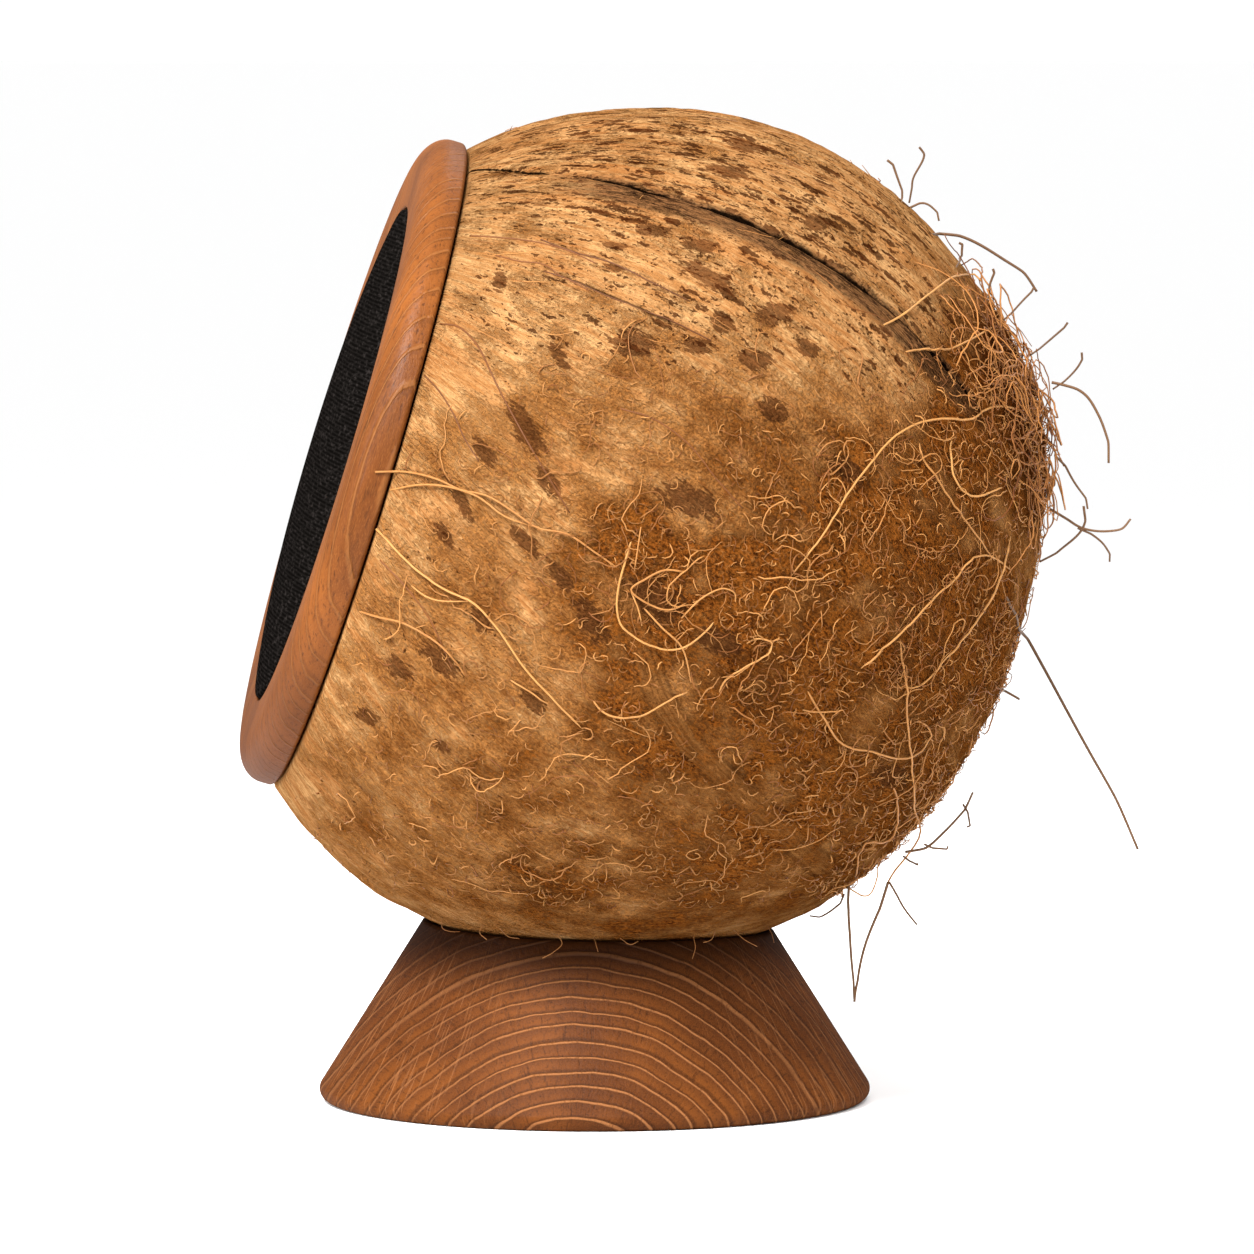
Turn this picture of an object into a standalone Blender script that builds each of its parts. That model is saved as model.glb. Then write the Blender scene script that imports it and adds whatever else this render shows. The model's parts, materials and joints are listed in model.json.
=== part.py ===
# Coconut-shell loudspeaker resting on a turned wooden foot.
# Metres, +Z up. The origin is the middle of the foot's flat underside.
# The mouth of the shell faces -Y and leans back, so the loudspeaker looks up a little.

import math
import random

import bmesh
import bpy
import numpy as np
from mathutils import Matrix, Vector

MM = 0.001
DEG = math.pi / 180

# Driving dimensions: the foot
FOOT_RADIUS = 41.7 * MM
FOOT_TOP_RADIUS = 25.9 * MM
FOOT_HEIGHT = 26.9 * MM
FOOT_EDGE = 1.7 * MM
FOOT_STEPS = 48

# Driving dimensions: the shell, a flattened ball grown about its own leaning axis
SHELL_CENTRE = Vector((0, 4.5 * MM, 85.05 * MM))
SHELL_EQUATOR = 65.0 * MM
SHELL_POLE = 61.0 * MM
SHELL_WALL = 4.0 * MM
SHELL_LEAN = 38.1 * DEG
SHELL_SEGMENTS = 66
SHELL_RINGS = 34
CAVITY_SEGMENTS = 30
CAVITY_RINGS = 15
SEAT_GAP = 0.3 * MM

# Driving dimensions: the mouth, the plane in which the shell is cut
MOUTH_CENTRE = Vector((0, -33.65 * MM, 95.45 * MM))
MOUTH_TILT = 17.0 * DEG

# Driving dimensions: ring and grille, heights measured outwards from the mouth plane
RING_RADIUS = 50.0 * MM
RING_HEIGHT = 6.4 * MM
RING_CROWN = 44.6 * MM
RING_BORE = 38.4 * MM
RING_REBATE = 41.6 * MM
RING_STEP = 4.6 * MM
RING_STEPS = 48
GRILLE_STEPS = 32
DOME_RISE = 2.1 * MM
DOME_EDGE = 6.3 * MM
DOME_POWER = 3.3
CLOTH_THICK = 0.4 * MM
GAP = 0.3 * MM

# Driving dimensions: the board and the driver behind the grille
BOARD_RADIUS = 42.6 * MM
BOARD_THICK = 5.0 * MM
DRIVER_FLANGE = 37.0 * MM
DRIVER_HOLE = 31.0 * MM
DRIVER_SCREW_CIRCLE = 34.0 * MM
DRIVER_STEPS = 20

# Driving dimensions: what feeds the driver
SHELF_TOP = -33.0 * MM
SHELF_THICK = 1.5 * MM
SHELF_BACK = -57.0 * MM
SHELF_HALF_WIDTH = 18.0 * MM
CELL_RADIUS = 9.2 * MM
CELL_LENGTH = 65.0 * MM
CELL_DEPTH = -45.8 * MM
INLET_RADIUS = 5.5 * MM

# Fibres that stand out of the shell
STRAND_RADIUS = 0.45 * MM
STRAND_POINTS = 6
STRAND_ROOT = 0.9 * MM

# Soft swellings and hollows of the shell: polar angle from the mouth end and longitude in
# degrees, height and spread in millimetres and degrees
SWELLINGS = (
    (36, 90, 0.5, 9),
    (105, 90, -0.9, 16),
    (126, 90, 1.2, 14),
    (158, 90, -1.2, 16),
    (156, -90, 1.3, 18),
)

# The long split in the husk and the short one below it: longitude, first and last polar
# angle, depth and half width, in degrees and millimetres
SPLITS = (
    (50, 24, 118, 0.9, 1.4),
    (26, 50, 78, 0.4, 1.2),
)


def clear_file():
    for thing in list(bpy.data.objects):
        bpy.data.objects.remove(thing, do_unlink=True)
    for group in list(bpy.data.collections):
        bpy.data.collections.remove(group)


def new_collection(name):
    group = bpy.data.collections.new(name)
    bpy.context.scene.collection.children.link(group)
    return group


clear_file()
PARTS = new_collection("coconut_speaker")
CUTTERS = new_collection("cutters")


def make_material(name, colour, roughness, metallic=0.0):
    material = bpy.data.materials.new(name)
    material.use_nodes = True
    shader = material.node_tree.nodes["Principled BSDF"]
    shader.inputs["Base Color"].default_value = (*colour, 1)
    shader.inputs["Roughness"].default_value = roughness
    shader.inputs["Metallic"].default_value = metallic
    return material


def make_frame(name, centre, lean):
    """An empty at centre whose +Z leans up from -Y by the angle lean."""
    empty = bpy.data.objects.new(name, None)
    empty.empty_display_size = 10 * MM
    empty.matrix_world = Matrix.Translation(centre) @ Matrix.Rotation(math.pi / 2 - lean, 4, "X")
    PARTS.objects.link(empty)
    return empty


SHELL_FRAME = make_frame("shell_axis", SHELL_CENTRE, SHELL_LEAN)
MOUTH_FRAME = make_frame("mouth_axis", MOUTH_CENTRE, MOUTH_TILT)
SHELL_MATRIX = SHELL_FRAME.matrix_world.copy()
MOUTH_MATRIX = MOUTH_FRAME.matrix_world.copy()


def add_object(name, data, material=None, frame=None, group=None, local=None):
    thing = bpy.data.objects.new(name, data)
    (group or PARTS).objects.link(thing)
    if frame:
        thing.parent = frame
    if local:
        thing.matrix_local = local
    if material:
        data.materials.append(material)
    if group is CUTTERS:
        thing.hide_render = True
        thing.display_type = "WIRE"
    return thing


def turned(name, profile, steps, material=None, frame=MOUTH_FRAME, group=None, local=None, closed=False):
    """A profile of (radius, height) points turned about +Z, its outer side running down."""
    mesh = bpy.data.meshes.new(name)
    edges = [(i, i + 1) for i in range(len(profile) - 1)]
    if closed:
        edges.append((len(profile) - 1, 0))
    mesh.from_pydata([(radius, 0, height) for radius, height in profile], edges, [])
    thing = add_object(name, mesh, material, frame, group, local)
    screw = thing.modifiers.new("turn", "SCREW")
    screw.steps = screw.render_steps = steps
    screw.use_merge_vertices = True
    screw.merge_threshold = 0.01 * MM
    screw.use_smooth_shade = True
    return thing


def plate(name, outline, material, first, last):
    """An outline in (up, out) of the mouth frame, extruded sideways from first to last."""
    curve = bpy.data.curves.new(name, "CURVE")
    curve.dimensions = "2D"
    curve.fill_mode = "BOTH"
    curve.extrude = (last - first) / 2
    spline = curve.splines.new("POLY")
    spline.points.add(len(outline) - 1)
    for point, (up, out) in zip(spline.points, outline):
        point.co = (up, out, 0, 1)
    spline.use_cyclic_u = True
    turn = Matrix(((0, 0, 1, (first + last) / 2), (1, 0, 0, 0), (0, 1, 0, 0), (0, 0, 0, 1)))
    return add_object(name, curve, material, MOUTH_FRAME, None, turn)


def box_mesh(name, low, high):
    mesh = bpy.data.meshes.new(name)
    shape = bmesh.new()
    bmesh.ops.create_cube(shape, size=1)
    size = Vector(high) - Vector(low)
    centre = (Vector(high) + Vector(low)) / 2
    bmesh.ops.scale(shape, vec=size, verts=shape.verts)
    bmesh.ops.translate(shape, vec=centre, verts=shape.verts)
    shape.to_mesh(mesh)
    shape.free()
    return mesh


def boolean(target, cutter, operation="DIFFERENCE"):
    modifier = target.modifiers.new(operation.lower(), "BOOLEAN")
    modifier.operation = operation
    modifier.solver = "EXACT"
    modifier.object = cutter
    return modifier


def tube(name, route, radius, material=None, frame=MOUTH_FRAME, group=None, sides=1, taper=None):
    """A round rod along a list of points, with its ends closed."""
    curve = bpy.data.curves.new(name, "CURVE")
    curve.dimensions = "3D"
    curve.bevel_depth = radius
    curve.bevel_resolution = sides
    curve.use_fill_caps = True
    spline = curve.splines.new("POLY")
    spline.points.add(len(route) - 1)
    for index, (point, place) in enumerate(zip(spline.points, route)):
        point.co = (*place, 1)
        point.radius = taper[index] if taper else 1
    return add_object(name, curve, material, frame, group)


def smooth_route(points, count):
    """Count points on one smooth curve through the given ones."""
    knots = np.array(points)
    steps = np.linalg.norm(np.diff(knots, axis=0), axis=1)
    place = np.concatenate([[0], np.cumsum(steps)])
    slope = np.gradient(knots, place, axis=0)
    route = []
    for at in np.linspace(0, place[-1], count):
        i = min(int(np.searchsorted(place, at, side="right")) - 1, len(knots) - 2)
        span = place[i + 1] - place[i]
        t = (at - place[i]) / span
        point = (2 * t**3 - 3 * t**2 + 1) * knots[i] + (t**3 - 2 * t**2 + t) * span * slope[i]
        point += (3 * t**2 - 2 * t**3) * knots[i + 1] + (t**3 - t**2) * span * slope[i + 1]
        route.append(tuple(point))
    return route


def arc(centre_r, centre_h, radius_r, radius_h, start, end, count):
    """Points on a stretch of an ellipse in (radius, height), angles in degrees from +radius."""
    angles = [(start + (end - start) * i / (count - 1)) * DEG for i in range(count)]
    return [(centre_r + radius_r * math.cos(a), centre_h + radius_h * math.sin(a)) for a in angles]


# The shell's surface

def fade(value, low, high):
    t = min(max((value - low) / (high - low), 0), 1)
    return t * t * (3 - 2 * t)


def direction(polar, longitude):
    return Vector((
        math.sin(polar) * math.cos(longitude),
        math.sin(polar) * math.sin(longitude),
        math.cos(polar),
    ))


def swelling(way):
    total = 0
    for polar, longitude, height, spread in SWELLINGS:
        centre = direction(polar * DEG, longitude * DEG)
        angle = way.angle(centre) / DEG
        total += height * MM * math.exp(-(angle / spread) ** 2)
    return total


def husk_relief(polar, longitude):
    """Ribs along the growth lines, the splits and the felted mat, as a height."""
    drift = 0.6 * math.sin(2.2 * polar + 0.4)
    ribs = 0.26 * math.cos(9 * longitude + drift)
    ribs += 0.22 * math.cos(15 * longitude - 2 * drift + 1.1)
    ribs += 0.18 * math.cos(22 * longitude + 3 * drift + 2.3)
    height = ribs * math.sin(polar)
    for middle, first, last, depth, half_width in SPLITS:
        across = math.remainder(longitude - middle * DEG, 2 * math.pi) / DEG
        along = fade(polar / DEG, first, first + 8) * (1 - fade(polar / DEG, last - 8, last))
        height -= depth * along * math.exp(-(across / half_width) ** 2)
    return height * MM


def shell_point(polar, longitude, lift=0.0, relief=True):
    """A point of the shell's outside, or lift above it, in the shell's own frame."""
    way = direction(polar, longitude)
    base = Vector((SHELL_EQUATOR * way.x, SHELL_EQUATOR * way.y, SHELL_POLE * way.z))
    outward = Vector((base.x / SHELL_EQUATOR**2, base.y / SHELL_EQUATOR**2, base.z / SHELL_POLE**2))
    outward.normalize()
    height = lift + swelling(way)
    if relief:
        world = SHELL_MATRIX @ base
        mouth = MOUTH_MATRIX.inverted() @ world
        on_foot = 1 - fade(math.hypot(world.x, world.y), 28 * MM, 34 * MM)
        if world.z > SHELL_CENTRE.z:
            on_foot = 0
        near_mouth = fade(mouth.z, -7 * MM, -2 * MM)
        height += husk_relief(polar, longitude) * (1 - on_foot) * (1 - near_mouth)
    return base + outward * height


def gather(longitude):
    """Draws the mesh's columns together at the long split, so that it can be narrow."""
    across = math.remainder(longitude - SPLITS[0][0] * DEG, 2 * math.pi)
    pull = 0.62 * math.exp(-(across / (7 * DEG)) ** 2)
    return longitude - across * pull


def shell_mesh(name, segments, rings, lift, relief):
    mesh = bpy.data.meshes.new(name)
    shape = bmesh.new()
    bmesh.ops.create_uvsphere(shape, u_segments=segments, v_segments=rings, radius=1)
    turn = SPLITS[0][0] * DEG
    for vertex in shape.verts:
        polar = math.acos(max(-1, min(1, vertex.co.z)))
        longitude = math.atan2(vertex.co.y, vertex.co.x) + turn
        vertex.co = shell_point(polar, gather(longitude) if relief else longitude, lift, relief)
    bmesh.ops.triangulate(shape, faces=shape.faces)
    shape.to_mesh(mesh)
    shape.free()
    mesh.shade_smooth()
    return mesh


# Fibres

def clear_of_neighbours(place):
    """True where a fibre may run: away from the foot, the ring and the power inlet."""
    world = SHELL_MATRIX @ place
    mouth = MOUTH_MATRIX.inverted() @ world
    over_foot = world.z < FOOT_HEIGHT + 6 * MM and math.hypot(world.x, world.y) < 38 * MM
    at_inlet = world.x < 0 and math.hypot(world.y - SHELL_CENTRE.y, world.z - SHELL_CENTRE.z) < 12 * MM
    return not over_foot and not at_inlet and mouth.z < -2.5 * MM and world.z > 1.5 * MM


def strand_route(chance, polar, longitude, heading, length, lift, curl, free):
    """A wandering path over the shell that starts under its skin and ends there or free."""
    step = length / (STRAND_POINTS - 1)
    bend = chance.uniform(-curl, curl)
    route = []
    for i in range(STRAND_POINTS):
        t = i / (STRAND_POINTS - 1)
        rise = t**1.3 if free else math.sin(math.pi * t)
        height = -STRAND_ROOT + (lift + STRAND_ROOT) * rise
        route.append(shell_point(polar * DEG, longitude * DEG, height, False))
        polar += step / SHELL_POLE / DEG * math.cos(heading)
        longitude += step / SHELL_EQUATOR / DEG * math.sin(heading) / max(math.sin(polar * DEG), 0.25)
        heading += bend + chance.uniform(-0.2, 0.2)
    return route


# Groups of fibres: how many, polar angles, longitudes, lengths and lifts in millimetres,
# curl in radians a step, and whether the far end stands free
STRAND_GROUPS = (
    ("tuft", 12, (108, 140), (38, 74), (11, 18), (1.5, 5.0), 0.7, True),
    ("tangle", 8, (88, 104), (-16, 8), (12, 18), (1.2, 2.8), 0.6, False),
    ("combed", 6, (60, 82), (-40, 4), (16, 24), (0.7, 1.0), 0.12, False),
    ("hanging", 8, (132, 160), (-70, 30), (14, 22), (2.0, 7.0), 0.35, True),
    ("wrapped", 5, (95, 140), (-30, 60), (16, 22), (0.8, 1.6), 0.3, False),
    ("behind", 7, (80, 150), (100, 320), (12, 20), (0.9, 3.0), 0.4, False),
)


def fuse_strands(shell):
    """Joins the fibres to the shell with one union, then removes them."""
    chance = random.Random(7)
    bundle = new_collection("strands")
    made = 0
    for name, count, polars, longitudes, lengths, lifts, curl, free in STRAND_GROUPS:
        while count > 0:
            route = strand_route(
                chance, chance.uniform(*polars), chance.uniform(*longitudes),
                chance.gauss(0, 0.5), chance.uniform(*lengths) * MM,
                chance.uniform(*lifts) * MM, curl, free)
            if not all(clear_of_neighbours(place) for place in route):
                continue
            count -= 1
            made += 1
            taper = [1.2 - 0.5 * i / (STRAND_POINTS - 1) for i in range(STRAND_POINTS)]
            curve = tube(f"{name}_{made}", route, STRAND_RADIUS, None, None, bundle, 0, taper)
            mesh = mesh_of(curve)
            rod = bpy.data.objects.new(f"rod_{made}", mesh)
            bundle.objects.link(rod)
            rod.matrix_world = SHELL_MATRIX
            bpy.data.objects.remove(curve)
    joint = shell.modifiers.new("fibres", "BOOLEAN")
    joint.operation = "UNION"
    joint.operand_type = "COLLECTION"
    joint.collection = bundle
    joint.solver = "EXACT"
    apply_modifiers(shell)
    for rod in list(bundle.objects):
        bpy.data.objects.remove(rod)
    bpy.data.collections.remove(bundle)


def mesh_of(thing):
    """The evaluated mesh of a curve, with its caps welded."""
    bpy.context.view_layer.update()
    mesh = bpy.data.meshes.new_from_object(thing.evaluated_get(bpy.context.evaluated_depsgraph_get()))
    shape = bmesh.new()
    shape.from_mesh(mesh)
    bmesh.ops.remove_doubles(shape, verts=shape.verts, dist=0.01 * MM)
    bmesh.ops.triangulate(shape, faces=shape.faces)
    bmesh.ops.recalc_face_normals(shape, faces=shape.faces)
    shape.to_mesh(mesh)
    shape.free()
    return mesh


def apply_modifiers(thing):
    bpy.context.view_layer.update()
    mesh = bpy.data.meshes.new_from_object(thing.evaluated_get(bpy.context.evaluated_depsgraph_get()))
    thing.modifiers.clear()
    thing.data = mesh


def make_shell(material):
    mesh = shell_mesh("coconut_shell", SHELL_SEGMENTS, SHELL_RINGS, 0, True)
    shell = add_object("coconut_shell", mesh, material, SHELL_FRAME)
    fuse_strands(shell)
    cavity = shell_mesh("shell_cavity", CAVITY_SEGMENTS, CAVITY_RINGS, -SHELL_WALL, False)
    boolean(shell, add_object("shell_cavity", cavity, None, SHELL_FRAME, CUTTERS))
    reach = 2 * SHELL_EQUATOR
    mouth = box_mesh("mouth_cut", (-reach, -reach, 0), (reach, reach, reach))
    boolean(shell, add_object("mouth_cut", mouth, None, MOUTH_FRAME, CUTTERS))
    seat = SHELL_EQUATOR - 0.7 * MM
    hole = [
        (0, SHELL_EQUATOR + 8 * MM), (INLET_RADIUS + 2.8 * MM, SHELL_EQUATOR + 8 * MM),
        (INLET_RADIUS + 2.8 * MM, seat), (INLET_RADIUS + GAP, seat),
        (INLET_RADIUS + GAP, SHELL_EQUATOR - 3 * SHELL_WALL), (0, SHELL_EQUATOR - 3 * SHELL_WALL),
    ]
    boolean(shell, turned("inlet_hole", hole, 24, None, None, CUTTERS, inlet_place()))
    return shell


def inlet_place():
    """The frame of the power inlet: +Z points out of the shell's far side, along -X."""
    return Matrix.Translation(SHELL_CENTRE) @ Matrix.Rotation(-math.pi / 2, 4, "Y")


def make_foot(material):
    slope = (FOOT_RADIUS - FOOT_TOP_RADIUS) / (FOOT_HEIGHT - FOOT_EDGE)
    raise_by = 3.5 * MM
    top = FOOT_TOP_RADIUS - slope * raise_by
    edge = arc(FOOT_RADIUS - FOOT_EDGE, FOOT_EDGE, FOOT_EDGE, FOOT_EDGE, 30, -90, 6)
    profile = [(0, FOOT_HEIGHT + raise_by), (top, FOOT_HEIGHT + raise_by), *edge, (0, 0)]
    foot = turned("foot", profile, FOOT_STEPS, material, None)
    seat = shell_mesh("foot_seat", SHELL_SEGMENTS, SHELL_RINGS, SEAT_GAP, False)
    boolean(foot, add_object("foot_seat", seat, None, SHELL_FRAME, CUTTERS))
    return foot


def make_ring(material):
    outer = arc(RING_CROWN, 2.3 * MM, RING_RADIUS - RING_CROWN, RING_HEIGHT - 2.3 * MM, 90, 0, 6)
    profile = [
        *outer, (RING_RADIUS - 0.3 * MM, GAP), (RING_REBATE, GAP), (RING_REBATE, RING_STEP),
        (RING_BORE, RING_STEP), (RING_BORE, RING_HEIGHT - 0.7 * MM),
        (RING_BORE + 0.7 * MM, RING_HEIGHT - 0.15 * MM),
    ]
    return turned("front_ring", profile, RING_STEPS, material, closed=True)


def dome_height(radius):
    return DOME_EDGE + DOME_RISE * (1 - (radius / RING_BORE) ** DOME_POWER)


def make_cloth(material):
    edge = RING_BORE - GAP
    inner = edge - CLOTH_THICK
    outer_radii = [0, 0.4 * edge, 0.7 * edge, 0.87 * edge, 0.97 * edge]
    inner_radii = [0.94 * inner, 0.75 * inner, 0.4 * inner, 0]
    profile = [(radius, dome_height(radius)) for radius in outer_radii]
    profile += [(edge, DOME_EDGE - 0.4 * MM), (edge, RING_STEP), (inner, RING_STEP), (inner, DOME_EDGE - 0.6 * MM)]
    profile += [(radius, dome_height(radius) - CLOTH_THICK) for radius in inner_radii]
    return turned("grille_cloth", profile, GRILLE_STEPS, material)


def sector_cutter(name, inner, outer, middle, half_angle, low, high):
    """A block in the shape of a slice of a ring, that cuts a window between two ribs."""
    count = 4
    mesh = bpy.data.meshes.new(name)
    shape = bmesh.new()
    angles = [middle + half_angle * (2 * i / (count - 1) - 1) for i in range(count)]
    rim = [(outer * math.cos(a), outer * math.sin(a), low) for a in angles]
    rim += [(inner * math.cos(a), inner * math.sin(a), low) for a in reversed(angles)]
    face = shape.faces.new([shape.verts.new(place) for place in rim])
    extruded = bmesh.ops.extrude_face_region(shape, geom=[face])
    moved = [item for item in extruded["geom"] if isinstance(item, bmesh.types.BMVert)]
    bmesh.ops.translate(shape, vec=(0, 0, high - low), verts=moved)
    bmesh.ops.recalc_face_normals(shape, faces=shape.faces)
    shape.to_mesh(mesh)
    shape.free()
    return add_object(name, mesh, None, MOUTH_FRAME, CUTTERS)


def make_grille_frame(material):
    below = CLOTH_THICK + GAP
    thick = 1.2 * MM
    lip = RING_BORE - GAP - CLOTH_THICK - GAP
    flange = RING_REBATE - GAP
    radii = [0, 0.4 * lip, 0.75 * lip, 0.94 * lip]
    profile = [(radius, dome_height(radius) - below) for radius in radii]
    profile += [
        (lip, DOME_EDGE - 1.1 * MM), (lip, RING_STEP - GAP), (flange, RING_STEP - GAP),
        (flange, GAP), (flange - 2.6 * MM, GAP), (flange - 2.6 * MM, RING_STEP - 1.6 * MM),
        (lip - 1.6 * MM, RING_STEP - 1.6 * MM),
    ]
    profile += [(radius, dome_height(radius) - below - thick) for radius in (0.75 * lip, 0.4 * lip, 0)]
    frame = turned("grille_frame", profile, GRILLE_STEPS, material)
    ribs = 4
    for row, (inner, outer) in enumerate(((8 * MM, 19.5 * MM), (22 * MM, 33.5 * MM))):
        for rib in range(ribs):
            name = f"window_{row}_{rib}"
            half = math.pi / ribs - 1.1 * MM / inner
            middle = 2 * math.pi * (rib + 0.5) / ribs
            boolean(frame, sector_cutter(name, inner, outer, middle, half, 2 * MM, 12 * MM))
    return frame


def rod_cutter(name, up, side, radius, low, high):
    profile = [(0, high), (radius, high), (radius, low), (0, low)]
    return turned(name, profile, 12, None, MOUTH_FRAME, CUTTERS, Matrix.Translation((side, up, 0)))


def screw_places():
    return [
        (DRIVER_SCREW_CIRCLE * math.sin(a), DRIVER_SCREW_CIRCLE * math.cos(a))
        for a in (math.pi / 4 + math.pi / 2 * i for i in range(4))
    ]


def bracket_places():
    return [(SHELF_TOP - 4.2 * MM, side) for side in (-11 * MM, 11 * MM)]


def make_board(material):
    rebate = DRIVER_FLANGE + GAP
    profile = [
        (BOARD_RADIUS, 0), (BOARD_RADIUS, -BOARD_THICK), (DRIVER_HOLE, -BOARD_THICK),
        (DRIVER_HOLE, -1.5 * MM), (rebate, -1.5 * MM), (rebate, 0),
    ]
    board = turned("baffle_board", profile, 36, material, closed=True)
    for index, (up, side) in enumerate(screw_places()):
        boolean(board, rod_cutter(f"board_hole_{index}", up, side, 1.5 * MM, -8 * MM, 4 * MM))
    for index, (up, side) in enumerate(bracket_places()):
        boolean(board, rod_cutter(f"board_pilot_{index}", up, side, 1.5 * MM, -8 * MM, -2.2 * MM))
    return board


def make_basket(material):
    profile = [
        (28.8, 0), (37.0, 0), (37.0, -1.2), (30.2, -1.2), (25.8, -12.6), (23.2, -13.0),
        (22.4, -17.0), (12.0, -17.0), (12.0, -15.8), (21.0, -15.8), (21.8, -12.4),
        (21.8, -11.2), (24.4, -11.2), (28.8, -1.2),
    ]
    profile = [(radius * MM, height * MM) for radius, height in profile]
    basket = turned("driver_basket", profile, DRIVER_STEPS, material, closed=True)
    for index in range(4):
        name = f"basket_window_{index}"
        middle = math.pi / 2 * index
        boolean(basket, sector_cutter(name, 24.9 * MM, 31 * MM, middle, 32 * DEG, -10.6 * MM, -2.6 * MM))
    for index, (up, side) in enumerate(screw_places()):
        boolean(basket, rod_cutter(f"flange_hole_{index}", up, side, 1.5 * MM, -4 * MM, 4 * MM))
    return basket


def make_driver(slots):
    """The moving parts and the motor of the driver, each with a running gap."""
    rubber, paper, steel, ferrite, copper, cloth = slots
    surround = [(31.0, 0.7), (31.0, 0.3), *arc(27.1, 0.3, 1.5, 1.5, 0, 180, 5), (23.8, 0.3), (23.8, 0.7)]
    surround += arc(27.1, 0.7, 1.9, 1.9, 180, 0, 6)
    cone = [(23.4, 0.0), (25.3, 0.0), (25.3, -0.6), (23.9, -0.6), (10.0, -8.2), (9.7, -8.0), (9.7, -7.4)]
    cap = [(0, -2.6), (5.0, -3.1), (8.8, -4.5), (11.2, -6.1), (10.6, -6.1), (8.5, -5.0), (4.9, -3.7), (0, -3.2)]
    waves = 2
    top = [(24.0, -10.4), (24.0, -10.9)]
    ridge = [(22.0 - 10.5 * i / (2 * waves), -10.4 + (0.7 if i % 2 else -0.1)) for i in range(2 * waves + 1)]
    spider = top + [(radius, height - 0.5) for radius, height in ridge] + [(9.7, -10.9), (9.7, -10.4)]
    spider += list(reversed(ridge))
    coil = [(9.4, -7.0), (9.4, -15.0), (9.8, -15.2), (9.8, -21.0), (8.9, -21.0), (8.9, -7.0)]
    front_plate = [(21.5, -17.3), (21.5, -20.3), (10.2, -20.3), (10.2, -17.3)]
    magnet = [(22.0, -20.6), (22.0, -28.6), (12.5, -28.6), (12.5, -20.6)]
    yoke = [(0, -17.3), (8.2, -17.3), (8.2, -28.9), (21.5, -28.9), (21.5, -31.9), (0, -31.9)]
    turned_parts = (
        ("driver_surround", surround, rubber, True), ("driver_cone", cone, paper, True),
        ("dust_cap", cap, paper, False), ("spider", spider, cloth, True),
        ("voice_coil", coil, copper, True), ("front_plate", front_plate, steel, True),
        ("magnet", magnet, ferrite, True), ("back_plate", yoke, steel, False),
    )
    for name, profile, material, closed in turned_parts:
        scaled = [(radius * MM, height * MM) for radius, height in profile]
        turned(name, scaled, DRIVER_STEPS, material, closed=closed)
    corners = ((-30.1, -10.5), (-28.9, -10.5), (-28.9, -5.4), (-30.1, -5.4))
    outline = [(up * MM, out * MM) for up, out in corners]
    plate("terminal_strip", outline, copper, -6 * MM, 6 * MM)


def screw_profile(length):
    return [
        (0, 1.0 * MM), (1.2 * MM, 1.0 * MM), (2.1 * MM, 0.5 * MM), (2.1 * MM, 0),
        (1.2 * MM, 0), (1.2 * MM, -length), (0, -length - 0.8 * MM),
    ]


def make_screws(material):
    for index, (up, side) in enumerate(screw_places()):
        place = Matrix.Translation((side, up, GAP))
        turned(f"driver_screw_{index + 1}", screw_profile(4.0 * MM), 8, material, local=place)
    over = Matrix.Rotation(math.pi, 4, "X")
    head = -BOARD_THICK - GAP - SHELF_THICK - GAP
    for index, (up, side) in enumerate(bracket_places()):
        place = Matrix.Translation((side, up, head)) @ over
        turned(f"bracket_screw_{index + 1}", screw_profile(3.4 * MM), 8, material, local=place)


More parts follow.
